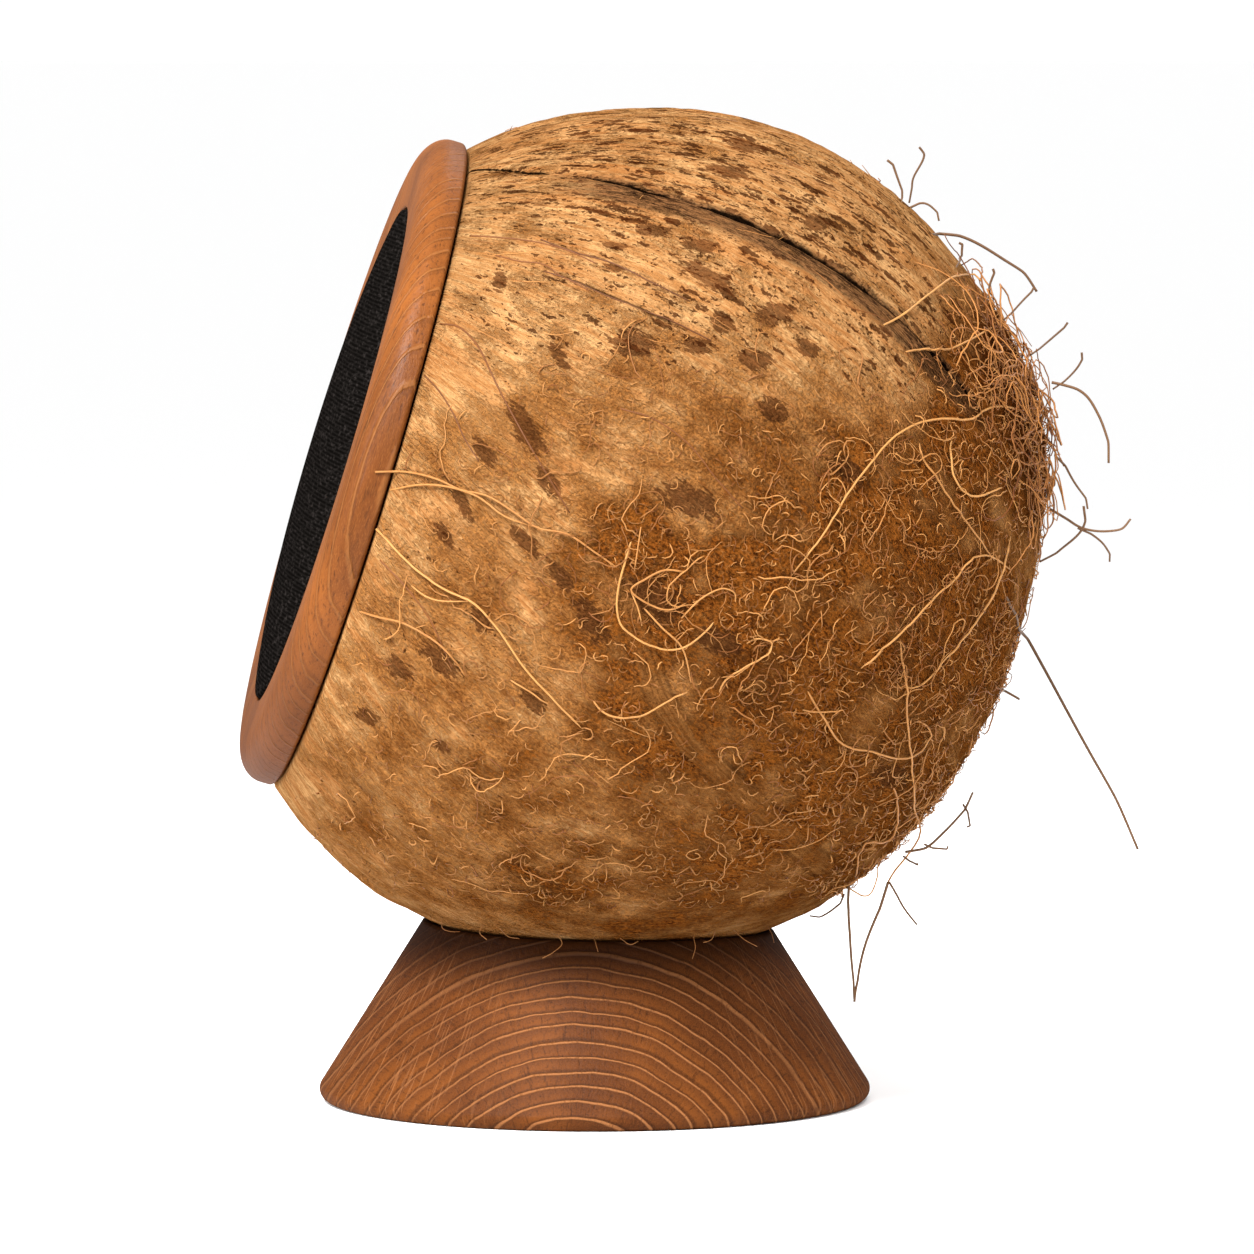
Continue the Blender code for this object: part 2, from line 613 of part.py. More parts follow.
def make_electronics(steel, plastic, board, cell_wrap):
    """Bracket, cell, holder, amplifier board and its standoffs, behind and below the driver."""
    front = -BOARD_THICK - GAP
    low = SHELF_TOP - 7.2 * MM
    bracket = [
        (SHELF_TOP, front), (SHELF_TOP, SHELF_BACK), (SHELF_TOP - SHELF_THICK, SHELF_BACK),
        (SHELF_TOP - SHELF_THICK, front - SHELF_THICK), (low, front - SHELF_THICK), (low, front),
    ]
    plate("electronics_bracket", bracket, steel, -SHELF_HALF_WIDTH, SHELF_HALF_WIDTH)
    angle = bpy.data.objects["electronics_bracket"]
    mesh = mesh_of(angle)
    place = angle.matrix_local.copy()
    bpy.data.objects.remove(angle)
    angle = add_object("electronics_bracket", mesh, None, MOUTH_FRAME, None, place)
    for index, (up, side) in enumerate(bracket_places()):
        boolean(angle, rod_cutter(f"bracket_hole_{index}", up, side, 1.5 * MM, -9 * MM, -4 * MM))

    floor = SHELF_TOP + GAP
    wall = 1.2 * MM
    inner = CELL_RADIUS + GAP
    high = floor + 12 * MM
    holder = [
        (floor, CELL_DEPTH - inner - wall), (high, CELL_DEPTH - inner - wall), (high, CELL_DEPTH - inner),
        (floor + wall, CELL_DEPTH - inner), (floor + wall, CELL_DEPTH + inner), (high, CELL_DEPTH + inner),
        (high, CELL_DEPTH + inner + wall), (floor, CELL_DEPTH + inner + wall),
    ]
    plate("battery_holder", holder, plastic, -30 * MM, 30 * MM)

    half = CELL_LENGTH / 2
    cell = [
        (0, half), (3.2 * MM, half), (3.2 * MM, half - 1 * MM), (CELL_RADIUS - 0.6 * MM, half - 1 * MM),
        (CELL_RADIUS, half - 1.6 * MM), (CELL_RADIUS, -half), (0, -half),
    ]
    lying = Matrix.Translation((0, floor + wall + GAP + CELL_RADIUS, CELL_DEPTH)) @ Matrix.Rotation(math.pi / 2, 4, "Y")
    turned("battery_cell", cell, 18, cell_wrap, local=lying)

    standoff = 2.6 * MM
    board_top = SHELF_TOP - SHELF_THICK - GAP - standoff - GAP
    board_low = board_top - 1.6 * MM
    upright = Matrix.Rotation(-math.pi / 2, 4, "X")
    for index, (side, out) in enumerate(((-13, -23), (13, -23), (-13, -47), (13, -47))):
        place = Matrix.Translation((side * MM, SHELF_TOP - SHELF_THICK - GAP - standoff, out * MM)) @ upright
        profile = [(0, standoff), (2.2 * MM, standoff), (2.2 * MM, 0), (0, 0)]
        turned(f"board_standoff_{index + 1}", profile, 8, steel, local=place)

    circuit = box_mesh("amp_board", (-16 * MM, board_low, -50 * MM), (16 * MM, board_top, -20 * MM))
    amp = add_object("amp_board", circuit, board, MOUTH_FRAME)
    blocks = (
        ("chip", (-5, -36), (5, -26), 1.4), ("coil_block", (-13, -44), (-6, -37), 3.2),
        ("socket", (8, -46), (14, -40), 4.0), ("small_chip", (-11, -32), (-8, -28), 1.0),
    )
    for name, (left, near), (right, far), height in blocks:
        low_corner = (left * MM, board_low - height * MM, near * MM)
        high_corner = (right * MM, board_low + 0.5 * MM, far * MM)
        block = add_object(name, box_mesh(name, low_corner, high_corner), None, MOUTH_FRAME, CUTTERS)
        boolean(amp, block, "UNION")
    return board_low + 0.8 * MM


def make_inlet(material):
    seat = SHELL_EQUATOR - 0.7 * MM + GAP
    flange = INLET_RADIUS + 2.4 * MM
    inner_end = seat - 9 * MM
    socket = 2.2 * MM
    profile = [
        (0, seat - 4 * MM), (socket, seat - 4 * MM), (socket, seat + 1.2 * MM),
        (flange - 0.4 * MM, seat + 1.2 * MM), (flange, seat + 0.8 * MM), (flange, seat),
        (INLET_RADIUS, seat), (INLET_RADIUS, inner_end), (0, inner_end),
    ]
    return turned("power_inlet", profile, 24, material, None, local=inlet_place())


def make_leads(material, board_level):
    """The wires from the driver, the cell and the inlet to the amplifier board."""
    edge = 17.0 * MM
    down = board_level / MM
    for index, side in enumerate((1, -1)):
        points = (
            (6.9, -30.2, -7), (11, -30.9, -8.5), (17, -31.5, -11), (21.4, -33.2, -15),
            (21.6, -36.2, -19.5), (19.6, down, -23.5), (17.2, down, -25),
        )
        route = [(side * x * MM, y * MM, z * MM) for x, y, z in points]
        tube(f"driver_lead_{index + 1}", smooth_route(route, 12), 0.6 * MM, material)
    cell_up = (SHELF_TOP + GAP + 1.2 * MM + GAP + CELL_RADIUS) / MM
    points = (
        (33.6, cell_up, CELL_DEPTH / MM), (36.4, cell_up - 2.5, -44.5), (37.2, cell_up - 7, -42),
        (34, -34.5, -40), (26.5, -38.0, -38.5), (edge / MM + 2.5, down, -38), (edge / MM + 0.2, down, -38),
    )
    route = [(x * MM, y * MM, z * MM) for x, y, z in points]
    tube("battery_lead", smooth_route(route, 12), 0.8 * MM, material)
    shell_in_mouth = MOUTH_MATRIX.inverted() @ SHELL_CENTRE
    start = (-(SHELL_EQUATOR - 0.4 * MM - 9 * MM - 1.1 * MM), shell_in_mouth.y, shell_in_mouth.z)
    points = (
        (-49, -2.5, -38), (-46, -13, -36.5), (-42, -25, -35), (-33, -34.5, -33.5),
        (-24, -38.2, -33), (-edge / MM - 0.2, down, -33),
    )
    route = [start] + [(x * MM, y * MM, z * MM) for x, y, z in points]
    tube("inlet_lead", smooth_route(route, 14), 0.8 * MM, material)


def main():
    husk = make_material("husk", (0.40, 0.24, 0.11), 0.85)
    ring_wood = make_material("ring_wood", (0.42, 0.19, 0.08), 0.45)
    foot_wood = make_material("foot_wood", (0.25, 0.10, 0.04), 0.5)
    grille = make_material("grille_fabric", (0.015, 0.015, 0.017), 0.8)
    plastic = make_material("black_plastic", (0.03, 0.03, 0.03), 0.5)
    plywood = make_material("plywood", (0.55, 0.40, 0.24), 0.7)
    steel = make_material("steel", (0.55, 0.56, 0.57), 0.35, 1.0)
    ferrite = make_material("ferrite", (0.09, 0.09, 0.10), 0.6)
    rubber = make_material("rubber", (0.02, 0.02, 0.02), 0.6)
    paper = make_material("cone_paper", (0.05, 0.05, 0.05), 0.9)
    spider_cloth = make_material("spider_fabric", (0.60, 0.42, 0.15), 0.9)
    copper = make_material("brass_metal", (0.78, 0.48, 0.25), 0.4, 1.0)
    circuit = make_material("circuit_board", (0.02, 0.15, 0.06), 0.4)
    wrap = make_material("cell_wrap", (0.08, 0.20, 0.45), 0.4)
    lead = make_material("lead_sheath", (0.05, 0.05, 0.05), 0.6)

    make_shell(husk)
    make_foot(foot_wood)
    make_ring(ring_wood)
    make_cloth(grille)
    make_grille_frame(plastic)
    make_board(plywood)
    make_basket(steel)
    make_driver((rubber, paper, steel, ferrite, copper, spider_cloth))
    make_screws(steel)
    board_level = make_electronics(steel, plastic, circuit, wrap)
    make_inlet(plastic)
    make_leads(lead, board_level)


main()
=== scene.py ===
import json
import math

import bpy
import numpy as np
from mathutils import Matrix


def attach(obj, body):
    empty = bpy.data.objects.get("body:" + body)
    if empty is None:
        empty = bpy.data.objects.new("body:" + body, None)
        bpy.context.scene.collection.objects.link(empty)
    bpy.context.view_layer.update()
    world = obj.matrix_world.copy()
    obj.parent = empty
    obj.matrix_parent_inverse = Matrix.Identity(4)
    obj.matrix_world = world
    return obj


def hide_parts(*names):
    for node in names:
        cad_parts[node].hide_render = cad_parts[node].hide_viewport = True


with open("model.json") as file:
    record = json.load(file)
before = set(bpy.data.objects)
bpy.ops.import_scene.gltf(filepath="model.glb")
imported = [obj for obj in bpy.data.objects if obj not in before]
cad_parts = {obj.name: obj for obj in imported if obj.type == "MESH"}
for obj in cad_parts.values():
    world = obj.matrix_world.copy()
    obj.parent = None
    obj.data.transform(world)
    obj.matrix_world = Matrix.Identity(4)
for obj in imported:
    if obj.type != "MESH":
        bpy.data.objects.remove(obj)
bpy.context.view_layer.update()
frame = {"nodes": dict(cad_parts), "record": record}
mm = 0.001  # the lengths below are in millimetres unless a note says otherwise
print("frame loaded:", len(frame["nodes"]), "solids")


# The photograph's camera

view = {
    "distance": 1300.0,  # from the target to the lens
    "elevation": 3.96,  # degrees above the horizon
    "turn": 5.16,  # degrees towards the grille
    "target": (0.0, 4.88, 71.0),
    "pixelSize": 0.15,  # what one pixel covers at the target
    "pixels": 1254,  # along each side of the picture
    "sensor": 36.0,
    "clip": (0.05, 60.0),  # metres
}


def unit(vectors):
    # each vector divided by its own length
    return vectors / np.maximum(np.linalg.norm(vectors, axis=-1, keepdims=True), 1e-12)


def fade(low, high, value):
    # 0 below low, 1 above high, and 3t^2 - 2t^3 in between
    t = np.clip((value - low) / (high - low), 0, 1)
    return t * t * (3 - 2 * t)


rise, turn = math.radians(view["elevation"]), math.radians(view["turn"])
toCamera = np.array([math.cos(rise) * math.cos(turn), -math.cos(rise) * math.sin(turn), math.sin(rise)])
viewRight = np.array([math.sin(turn), math.cos(turn), 0.0])
viewUp = np.cross(toCamera, viewRight)
lensAt = np.array(view["target"]) + view["distance"] * toCamera
focal = view["distance"] / view["pixelSize"]
middle = view["pixels"] / 2


def pixelRays(pixels):
    # the direction from the lens through each pixel
    across, down = pixels[..., 0:1] - middle, pixels[..., 1:2] - middle
    return unit(-toCamera * focal + viewRight * across - viewUp * down)


def pixelsOf(points):
    # where a point falls in the picture: its offsets from the lens over its depth
    offset = points - lensAt
    depth = -(offset @ toCamera)
    across, down = focal * (offset @ viewRight) / depth, -focal * (offset @ viewUp) / depth
    return np.stack([middle + across, middle + down], -1)


def placeInScene(name, data, side, up, back, at):
    # a camera or lamp at a place in metres, looking against its back axis
    holder = bpy.data.objects.new(name, data)
    bpy.context.scene.collection.objects.link(holder)
    axes = np.eye(4)
    axes[:3] = np.stack([side, up, back, at], 1)
    holder.matrix_world = Matrix(axes)
    return holder


def addCamera():
    lens = bpy.data.cameras.new("photoCamera")
    lens.sensor_width = view["sensor"]
    lens.lens = focal * view["sensor"] / view["pixels"]
    lens.clip_start, lens.clip_end = view["clip"]
    bpy.context.scene.camera = placeInScene("photoCamera", lens, viewRight, viewUp, toCamera, lensAt * mm)


addCamera()


# Noise and meshes

scramble = np.array([73856093, 19349663, 83492791])  # large odd numbers that mix up a corner's place


def smoothNoise(points, seed=0):
    # random numbers from -1 to 1 at whole-number corners, blended between them
    base = np.floor(points).astype(np.int64)
    t = points - base
    t = t * t * (3 - 2 * t)
    total = np.zeros(points.shape[:-1])
    for corner in range(8):
        step = np.array([corner & 1, corner >> 1 & 1, corner >> 2 & 1])
        key = np.bitwise_xor.reduce((base + step) * scramble, axis=-1) ^ (seed + 17) * 2654435761
        key = ((key ^ (key >> 13)) & 0xFFFFFFFF) * 1274126177
        value = ((key ^ (key >> 16)) & 65535) / 32767.5 - 1
        total += value * np.prod(np.where(step == 1, t, 1 - t), axis=-1)
    return total


def layeredNoise(points, layers):
    # the sum of noises, each with its height, scale and seed
    return sum(height * smoothNoise(points * scale, seed) for height, scale, seed in layers)


def between(value, start, full, hold, end):
    # rises from start to full and falls from hold to end
    return fade(start, full, value) * (1 - fade(hold, end, value))


def roundAngles(count):
    return np.arange(count) * 2 * np.pi / count


def wrapped(angle):
    # an angle brought between minus and plus half a turn
    return np.angle(np.exp(1j * angle))


def makeMesh(name, points, faces, finish, attributes=None):
    # puts points in millimetres and groups of equal-sided faces into a mesh
    points = points.reshape(-1, 3)
    corners = np.concatenate([group.ravel() for group in faces]).astype(np.int32)
    sizes = np.concatenate([np.full(len(group), group.shape[1]) for group in faces])
    mesh = bpy.data.meshes.new(name)
    mesh.vertices.add(len(points))
    mesh.vertices.foreach_set("co", (points * mm).astype(np.float32).ravel())
    mesh.loops.add(len(corners))
    mesh.loops.foreach_set("vertex_index", corners)
    mesh.polygons.add(len(sizes))
    mesh.polygons.foreach_set("loop_start", np.concatenate([[0], np.cumsum(sizes)[:-1]]).astype(np.int32))
    for key, values in (attributes or {}).items():
        isVector = values.shape[-1] == 3 and values.ndim > 1
        layer = mesh.attributes.new(key, "FLOAT_VECTOR" if isVector else "FLOAT", "POINT")
        layer.data.foreach_set("vector" if isVector else "value", values.astype(np.float32).ravel())
    mesh.update(calc_edges=True)
    mesh.validate()
    mesh.shade_smooth()
    mesh.materials.append(finish)
    made = bpy.data.objects.new(name, mesh)
    bpy.context.scene.collection.objects.link(made)
    return made


def makePiece(name, points, faces, finish, attributes=None):
    piece = makeMesh(name, points, faces, finish, attributes)
    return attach(piece, "root")


def gridFaces(rows, columns, wrapRows=False):
    # quads between neighbouring rows of a grid whose columns close round
    row = np.arange(rows if wrapRows else rows - 1)[:, None]
    column = np.arange(columns)[None, :]
    nextRow, nextColumn = (row + 1) % rows * columns, (column + 1) % columns
    corners = [row * columns + column, row * columns + nextColumn, nextRow + nextColumn, nextRow + column]
    return np.stack(np.broadcast_arrays(*corners), -1).reshape(-1, 4)


def poleFaces(ring, pole, flip):
    # triangles between a closed ring of points and one pole
    after = np.roll(ring, -1)
    pole = np.full(len(ring), pole)
    return np.stack([after, ring, pole] if flip else [ring, after, pole], -1)


def closedGrid(rows, columns):
    # a grid of rows with a pole before its first row and one after its last
    count = rows * columns
    lastRow = np.arange(count - columns, count)
    return [
        gridFaces(rows, columns), poleFaces(np.arange(columns), count, True),
        poleFaces(lastRow, count + 1, False),
    ]


# Material nodes: patterns are written as plain sums of wires

making = {}  # the node tree that the next nodes go into


class Wire:
    # a node's output that can be added, taken away, multiplied and divided
    def __init__(self, socket):
        self.socket = socket

    def __add__(self, other):
        return maths("ADD", self, other)

    def __sub__(self, other):
        return maths("SUBTRACT", self, other)

    def __mul__(self, other):
        return maths("MULTIPLY", self, other)

    def __truediv__(self, other):
        return maths("DIVIDE", self, other)

    def __abs__(self):
        return maths("ABSOLUTE", self)


def newFinish(name):
    finish = bpy.data.materials.new(name)
    finish.use_nodes = True
    making["tree"] = finish.node_tree
    return finish, finish.node_tree.nodes["Principled BSDF"]


def plug(made, values):
    # links each wire to its socket and sets each constant on it
    for key, value in values.items():
        if isinstance(value, Wire):
            making["tree"].links.new(value.socket, made.inputs[key])
        else:
            made.inputs[key].default_value = value


def node(kind, inputs=None, output=0, **settings):
    # adds a node with its settings and inputs, and gives one of its outputs
    made = making["tree"].nodes.new("ShaderNode" + kind)
    for key, value in settings.items():
        setattr(made, key, value)
    plug(made, inputs or {})
    return Wire(made.outputs[output])


def maths(operation, *values):
    return node("Math", dict(enumerate(values)), operation=operation)


def vectorMaths(operation, *values):
    return node("VectorMath", dict(enumerate(values)), operation=operation)


def attribute(name, output="Vector"):
    return node("Attribute", output=output, attribute_name=name)


def parts(vector):
    first = node("SeparateXYZ", {0: vector})
    return [Wire(output) for output in first.socket.node.outputs]


def joined(x, y=0.0, z=0.0):
    return node("CombineXYZ", {0: x, 1: y, 2: z})


def placeOnObject():
    # where a point of the piece is, in metres
    return node("TexCoord", output="Object")


def cloudy(vector, scale=(1, 1, 1), detail=3.0, roughness=0.55, distortion=0.0):
    # noise from 0 to 1 around 0.5, on a stretched vector
    inputs = {"Vector": vectorMaths("MULTIPLY", vector, scale), "Scale": 1.0, "Detail": detail}
    return node("TexNoise", {**inputs, "Roughness": roughness, "Distortion": distortion}, "Fac")


def ramp(value, low, high, outLow=0.0, outHigh=1.0):
    # a smooth step of value from low to high, which falls where low is above high
    inputs = {"Value": value, "From Min": low, "From Max": high, "To Min": outLow, "To Max": outHigh}
    return node("MapRange", inputs, interpolation_type="SMOOTHSTEP")


def mixed(share, first, second):
    return node("Mix", {"Factor": share, 6: first, 7: second}, 2, data_type="RGBA", clamp_factor=True)


def paint(rgb, light=(0.47, 0.38, 0.29)):
    # a colour as seen, from 0 to 255, made a reflectance under this scene's light
    seen = np.array(rgb) / 255
    linear = np.where(seen <= 0.04045, seen / 12.92, ((seen + 0.055) / 1.055) ** 2.4)
    return (*(linear * light), 1.0)


def coloured(patterns, base, *tints):
    # two colours blended along one pattern, then tints laid over them, each where a pattern is
    # past its low and high, at its share
    name, low, high, dark, light = base
    colour = mixed(ramp(patterns[name], low, high), paint(dark), paint(light))
    for name, low, high, share, tint in tints:
        colour = mixed(ramp(patterns[name], low, high) * share, colour, paint(tint))
    return colour


def finishWith(shader, colour, height, roughness, depth, constants):
    # gives the shader its colour, roughness and constants, and bumps it by a height in millimetres
    bump = node("Bump", {"Height": height, "Distance": mm, "Strength": depth})
    plug(shader, {"Base Color": colour, "Roughness": roughness, "Normal": bump, **constants})
    return bump


# The shell's form

shell = {
    "centre": (0.0, 4.5, 85.05),
    "equator": 65.0,
    "pole": 61.0,
    "lean": 38.1,  # degrees that the growth axis stands above the grille side's horizontal
    "wall": 4.0,
    "columns": 600,
    "rows": 148,
    "innerRows": 12,
    # height over the mouth plane and lift of the rim's edge, and the height where the outside starts
    "rimEdge": ((-0.02, -0.6), (-0.12, -0.2)),
    "rimHeight": -0.45,
    # polar angle, longitude, height and spread in degrees of each soft swelling or hollow
    "swellings": (
        (36, 90, 0.5, 9), (105, 90, -0.9, 16), (126, 90, 1.2, 14), (158, 90, -1.2, 16), (156, -90, 1.3, 18),
    ),
    "ribs": ((0.26, 9, 1, 0.0), (0.22, 15, -2, 1.1), (0.18, 22, 3, 2.3)),  # height, how many, drift, phase
    # height, scale and seed of each layer of noise
    "streaks": ((0.22, (0.5, 0.5, 0.06), 1), (0.12, (1.3, 1.3, 0.16), 2)),
    "lumps": ((0.34, 0.3, 3), (0.30, 0.75, 4)),
    # polar angles and longitudes along the long split, the short one and the flat husk band
    "splitRoute": (
        (24, 62), (31, 58.5), (40, 52), (47, 50.1), (58, 48.1), (74, 48.4), (90, 49), (106, 49.8),
        (120, 53),
    ),
    "splitMiddle": 50.1,  # its longitude near the ring
    "splitDeepest": 79.5,
    "splitSwell": 9.0,
    "splitProfile": ((-1.3, 0.0, 0.42), (-0.5, -1.7, 1.6), (0.35, 1.1, 0.8)),  # height, middle, spread
    "fineSplitRoute": ((50, 26.4), (60, 25.8), (78, 26.7)),
    "gathers": ((50.1, 0.66, 7.0), (26.4, 0.5, 4.0)),  # longitude, pull and spread of drawn columns
    "fineSplitProfile": ((-0.5, 0.0, 0.3), (0.2, 0.8, 0.6)),
    "bandRoute": ((90, -7.6), (94, -10), (101, -14.5), (109, -17.7), (122, -21), (131, -24.5), (145, -34)),
    "bandWidth": 1.5,
    "bandHeight": 0.3,
    "inletRadius": 8.4,  # the seat of the power inlet's rim, on the far side
    "inletDepth": 0.75,
    "footReach": (28, 34),  # how far from the middle the relief comes back above the foot
    # between which polar angles and longitudes the tuft's skin is darker, and where grey lies by the split
    "tuftPolar": (102, 114, 134, 146),
    "tuftBearing": (50, 64, 80, 98),
    "greyAcross": (-6.0, -4.0, 0.2, 1.0),
    "greyPolar": (40, 56),
}

mouth = {
    "centre": (0.0, -33.65, 95.45),
    "tilt": 17.0,  # degrees that the grille looks up
    "ringRadius": 50.0,
}


def leaningFrame(degrees):
    # rows are the side, up and out axes of a frame whose out axis leans up from -Y
    lean = math.radians(degrees)
    return np.array([[1, 0, 0], [0, math.sin(lean), math.cos(lean)], [0, -math.cos(lean), math.sin(lean)]])


shellFrame, shellCentre = leaningFrame(shell["lean"]), np.array(shell["centre"])
mouthFrame, mouthCentre = leaningFrame(mouth["tilt"]), np.array(mouth["centre"])
radii = np.array([shell["equator"], shell["equator"], shell["pole"]])
shellSize = shell["equator"]


def wayOf(polar, longitude):
    # the unit vector at a polar angle and longitude about the growth axis, in radians
    around = np.sin(polar)
    return np.stack([around * np.cos(longitude), around * np.sin(longitude), np.cos(polar)], -1)


def anglesOf(way):
    # the polar angle and the longitude of a direction
    return np.arccos(np.clip(way[..., 2], -1, 1)), np.arctan2(way[..., 1], way[..., 0])


def swellingAt(way):
    # a sum of soft bells around given directions
    total = 0
    for polar, longitude, height, spread in shell["swellings"]:
        centre = wayOf(math.radians(polar), math.radians(longitude))
        angle = np.degrees(np.arccos(np.clip(way @ centre, -1, 1)))
        total = total + height * np.exp(-((angle / spread) ** 2))
    return total


def acrossRoute(way, route):
    # millimetres from a route along the meridians, and 1 between its ends
    polar, longitude = anglesOf(way)
    angles, longitudes = np.array(route).T
    line = np.radians(np.interp(np.degrees(polar), angles, longitudes))
    inside = between(np.degrees(polar), angles[0], angles[0] + 8, angles[-1] - 10, angles[-1])
    return wrapped(longitude - line) * shellSize * np.sin(polar), inside


def bells(value, shapes):
    # the sum of bell curves, each with its height, middle and spread
    return sum(height * np.exp(-(((value - centre) / spread) ** 2)) for height, centre, spread in shapes)


def deepest(degrees):
    # the long split's depth along its meridian: half, swelling to all of it about one polar angle
    return 0.5 + 0.5 * bells(degrees, ((1.0, shell["splitDeepest"], shell["splitSwell"]),))


def bandAt(way):
    # signed distance across the husk band's route and the length along it
    knots = wayOf(*np.radians(np.array(shell["bandRoute"], float)).T) * shellSize
    point = way * shellSize
    best, along, total = np.full(way.shape[:-1], 99.0), np.zeros(way.shape[:-1]), 0.0
    for start, end in zip(knots[:-1], knots[1:]):
        span = end - start
        length = np.linalg.norm(span)
        t = np.clip((point - start) @ span / length**2, 0, 1)
        offset = point - (start + t[..., None] * span)
        distance = np.linalg.norm(offset, axis=-1) * np.sign(offset @ np.cross(span, start))
        nearer = np.abs(distance) < np.abs(best)
        best, along = np.where(nearer, distance, best), np.where(nearer, total + t * length, along)
        total += length
    return best, along


def grainOf(way):
    # a vector whose noise runs along the meridians: the circle of longitude, and the arc from the pole
    polar = anglesOf(way)[0]
    return np.concatenate([unit(way[..., :2] + 1e-9) * shellSize, polar[..., None] * shell["pole"]], -1)


def reliefAt(way, felt):
    # ribs along the growth lines, finer streaks, felted lumps, the splits and the band
    polar, longitude = anglesOf(way)
    drift = 0.6 * np.sin(2.2 * polar + 0.4)
    ribs = 0
    for high, count, bend, phase in shell["ribs"]:
        ribs = ribs + high * np.cos(count * longitude + bend * drift + phase)
    grain = grainOf(way)
    streaks = layeredNoise(grain, shell["streaks"])
    lumps = layeredNoise(way * shellSize, shell["lumps"])
    height = (ribs + streaks * (1 - 0.6 * felt)) * np.sin(polar) + lumps * (0.25 + 0.75 * felt)
    across, along = acrossRoute(way, shell["splitRoute"])
    across = across + 0.25 * smoothNoise(grain * (0.0, 0.0, 0.25), 5)
    height = height + along * deepest(np.degrees(polar)) * bells(across, shell["splitProfile"])
    across, along = acrossRoute(way, shell["fineSplitRoute"])
    height = height + along * bells(across, shell["fineSplitProfile"])
    return height + shell["bandHeight"] * fade(1.3, 0.8, np.abs(bandAt(way)[0]) / shell["bandWidth"])


def inletDistance(points):
    # millimetres from the power inlet's axis, and far off on the side that has no inlet
    distance = np.hypot(points[..., 1] - shellCentre[1], points[..., 2] - shellCentre[2])
    return np.where(points[..., 0] < 0, distance, 99.0)


def shellSurface(way, lift=0.0, relief=None):
    # the flattened ball in a direction, raised along its normal by swellings, relief and lift
    base = way * radii
    outward = unit(way / radii)
    height = swellingAt(way) + lift
    if relief is not None:
        world = shellCentre + base @ shellFrame
        inMouth = (world - mouthCentre) @ mouthFrame.T
        fromAxis = np.hypot(world[..., 0], world[..., 1])
        below = (world[..., 2] < shellCentre[2]) * (1 - fade(*shell["footReach"], fromAxis))
        fromInlet = inletDistance(world)
        plain = (1 - below) * fade(-1, -6, inMouth[..., 2]) * fade(9, 14, fromInlet)
        height = height + relief * plain
        seat = fade(shell["inletRadius"] + 0.8, shell["inletRadius"], fromInlet)
        height = height - shell["inletDepth"] * seat
    return shellCentre + (base + outward * height[..., None]) @ shellFrame, outward @ shellFrame


def aboveShell(points):
    # roughly how far a point is above the smooth shell
    local = (points - shellCentre) @ shellFrame.T
    share = np.linalg.norm(local / radii, axis=-1)
    way = unit(local / radii)
    support = 1 / np.linalg.norm(way / radii, axis=-1)
    return (share - 1) * support - swellingAt(way)


# What grows where on the husk, in pixels of the photograph: centre, half sizes and amount

husk = {
    "felt": (
        (640, 590, 110, 115, 0.85), (760, 610, 180, 150, 1.0), (890, 600, 160, 210, 1.0),
        (985, 440, 75, 150, 1.0), (840, 780, 190, 140, 0.95), (690, 760, 170, 140, 0.75),
        (560, 800, 190, 110, 0.5), (640, 880, 260, 80, 0.7), (470, 720, 130, 90, 0.4),
        (620, 420, 130, 80, 0.36), (500, 540, 90, 70, 0.34), (440, 640, 100, 80, 0.32),
        (475, 462, 70, 55, 0.34), (770, 450, 140, 80, 0.5), (410, 790, 110, 80, 0.38),
        (700, 360, 160, 60, 0.15),
    ),
    "spots": (
        (640, 170, 260, 110, 1.0), (830, 230, 170, 110, 1.0), (700, 300, 190, 90, 0.8),
        (540, 280, 120, 120, 0.7), (450, 600, 120, 150, 0.42), (910, 330, 110, 90, 0.9),
        (420, 780, 150, 100, 0.32), (600, 860, 240, 80, 0.28),
    ),
    "pale": (
        (515, 345, 45, 85, 1.0), (480, 250, 60, 60, 0.6), (460, 420, 60, 50, 0.6),
        (640, 300, 110, 60, 0.5), (600, 480, 30, 14, 1.0), (850, 200, 110, 80, 0.4),
        (470, 560, 60, 60, 0.35), (650, 410, 70, 35, 0.6),
    ),
    # patches of dark skin: centre, half length, half width, and tilt in degrees clockwise
    "patches": (
        (653, 232, 21, 6, 8), (699, 247, 20, 8, 12), (617, 245, 16, 5, 5), (707, 275, 34, 10, 28),
        (612, 267, 14, 5, 5), (773, 314, 19, 12, 0), (723, 323, 15, 9, 25), (755, 358, 21, 13, 10),
        (807, 348, 15, 9, 20), (698, 345, 20, 10, 10), (633, 344, 28, 13, 10), (773, 409, 20, 12, 30),
        (729, 170, 26, 7, 10), (745, 145, 24, 6, 15), (500, 281, 12, 8, 100), (525, 427, 34, 13, 57),
        (485, 454, 20, 8, 60), (550, 483, 20, 9, 55), (559, 354, 16, 8, 60), (441, 534, 18, 7, 60),
        (524, 539, 24, 9, 50), (480, 622, 16, 8, 50), (442, 660, 28, 12, 42), (401, 668, 18, 10, 30),
        (533, 701, 18, 9, 40), (367, 717, 14, 9, 20), (443, 745, 12, 6, 40), (817, 220, 16, 8, 20),
        (460, 500, 30, 7, 62), (590, 620, 30, 14, 55), (655, 600, 34, 22, 30), (890, 775, 20, 14, 0),
        (720, 640, 26, 16, 20), (850, 470, 26, 12, 40), (560, 575, 22, 10, 50), (690, 500, 36, 16, 20),
    ),
    "hiddenPatches": 60,
    "seed": 11,
}


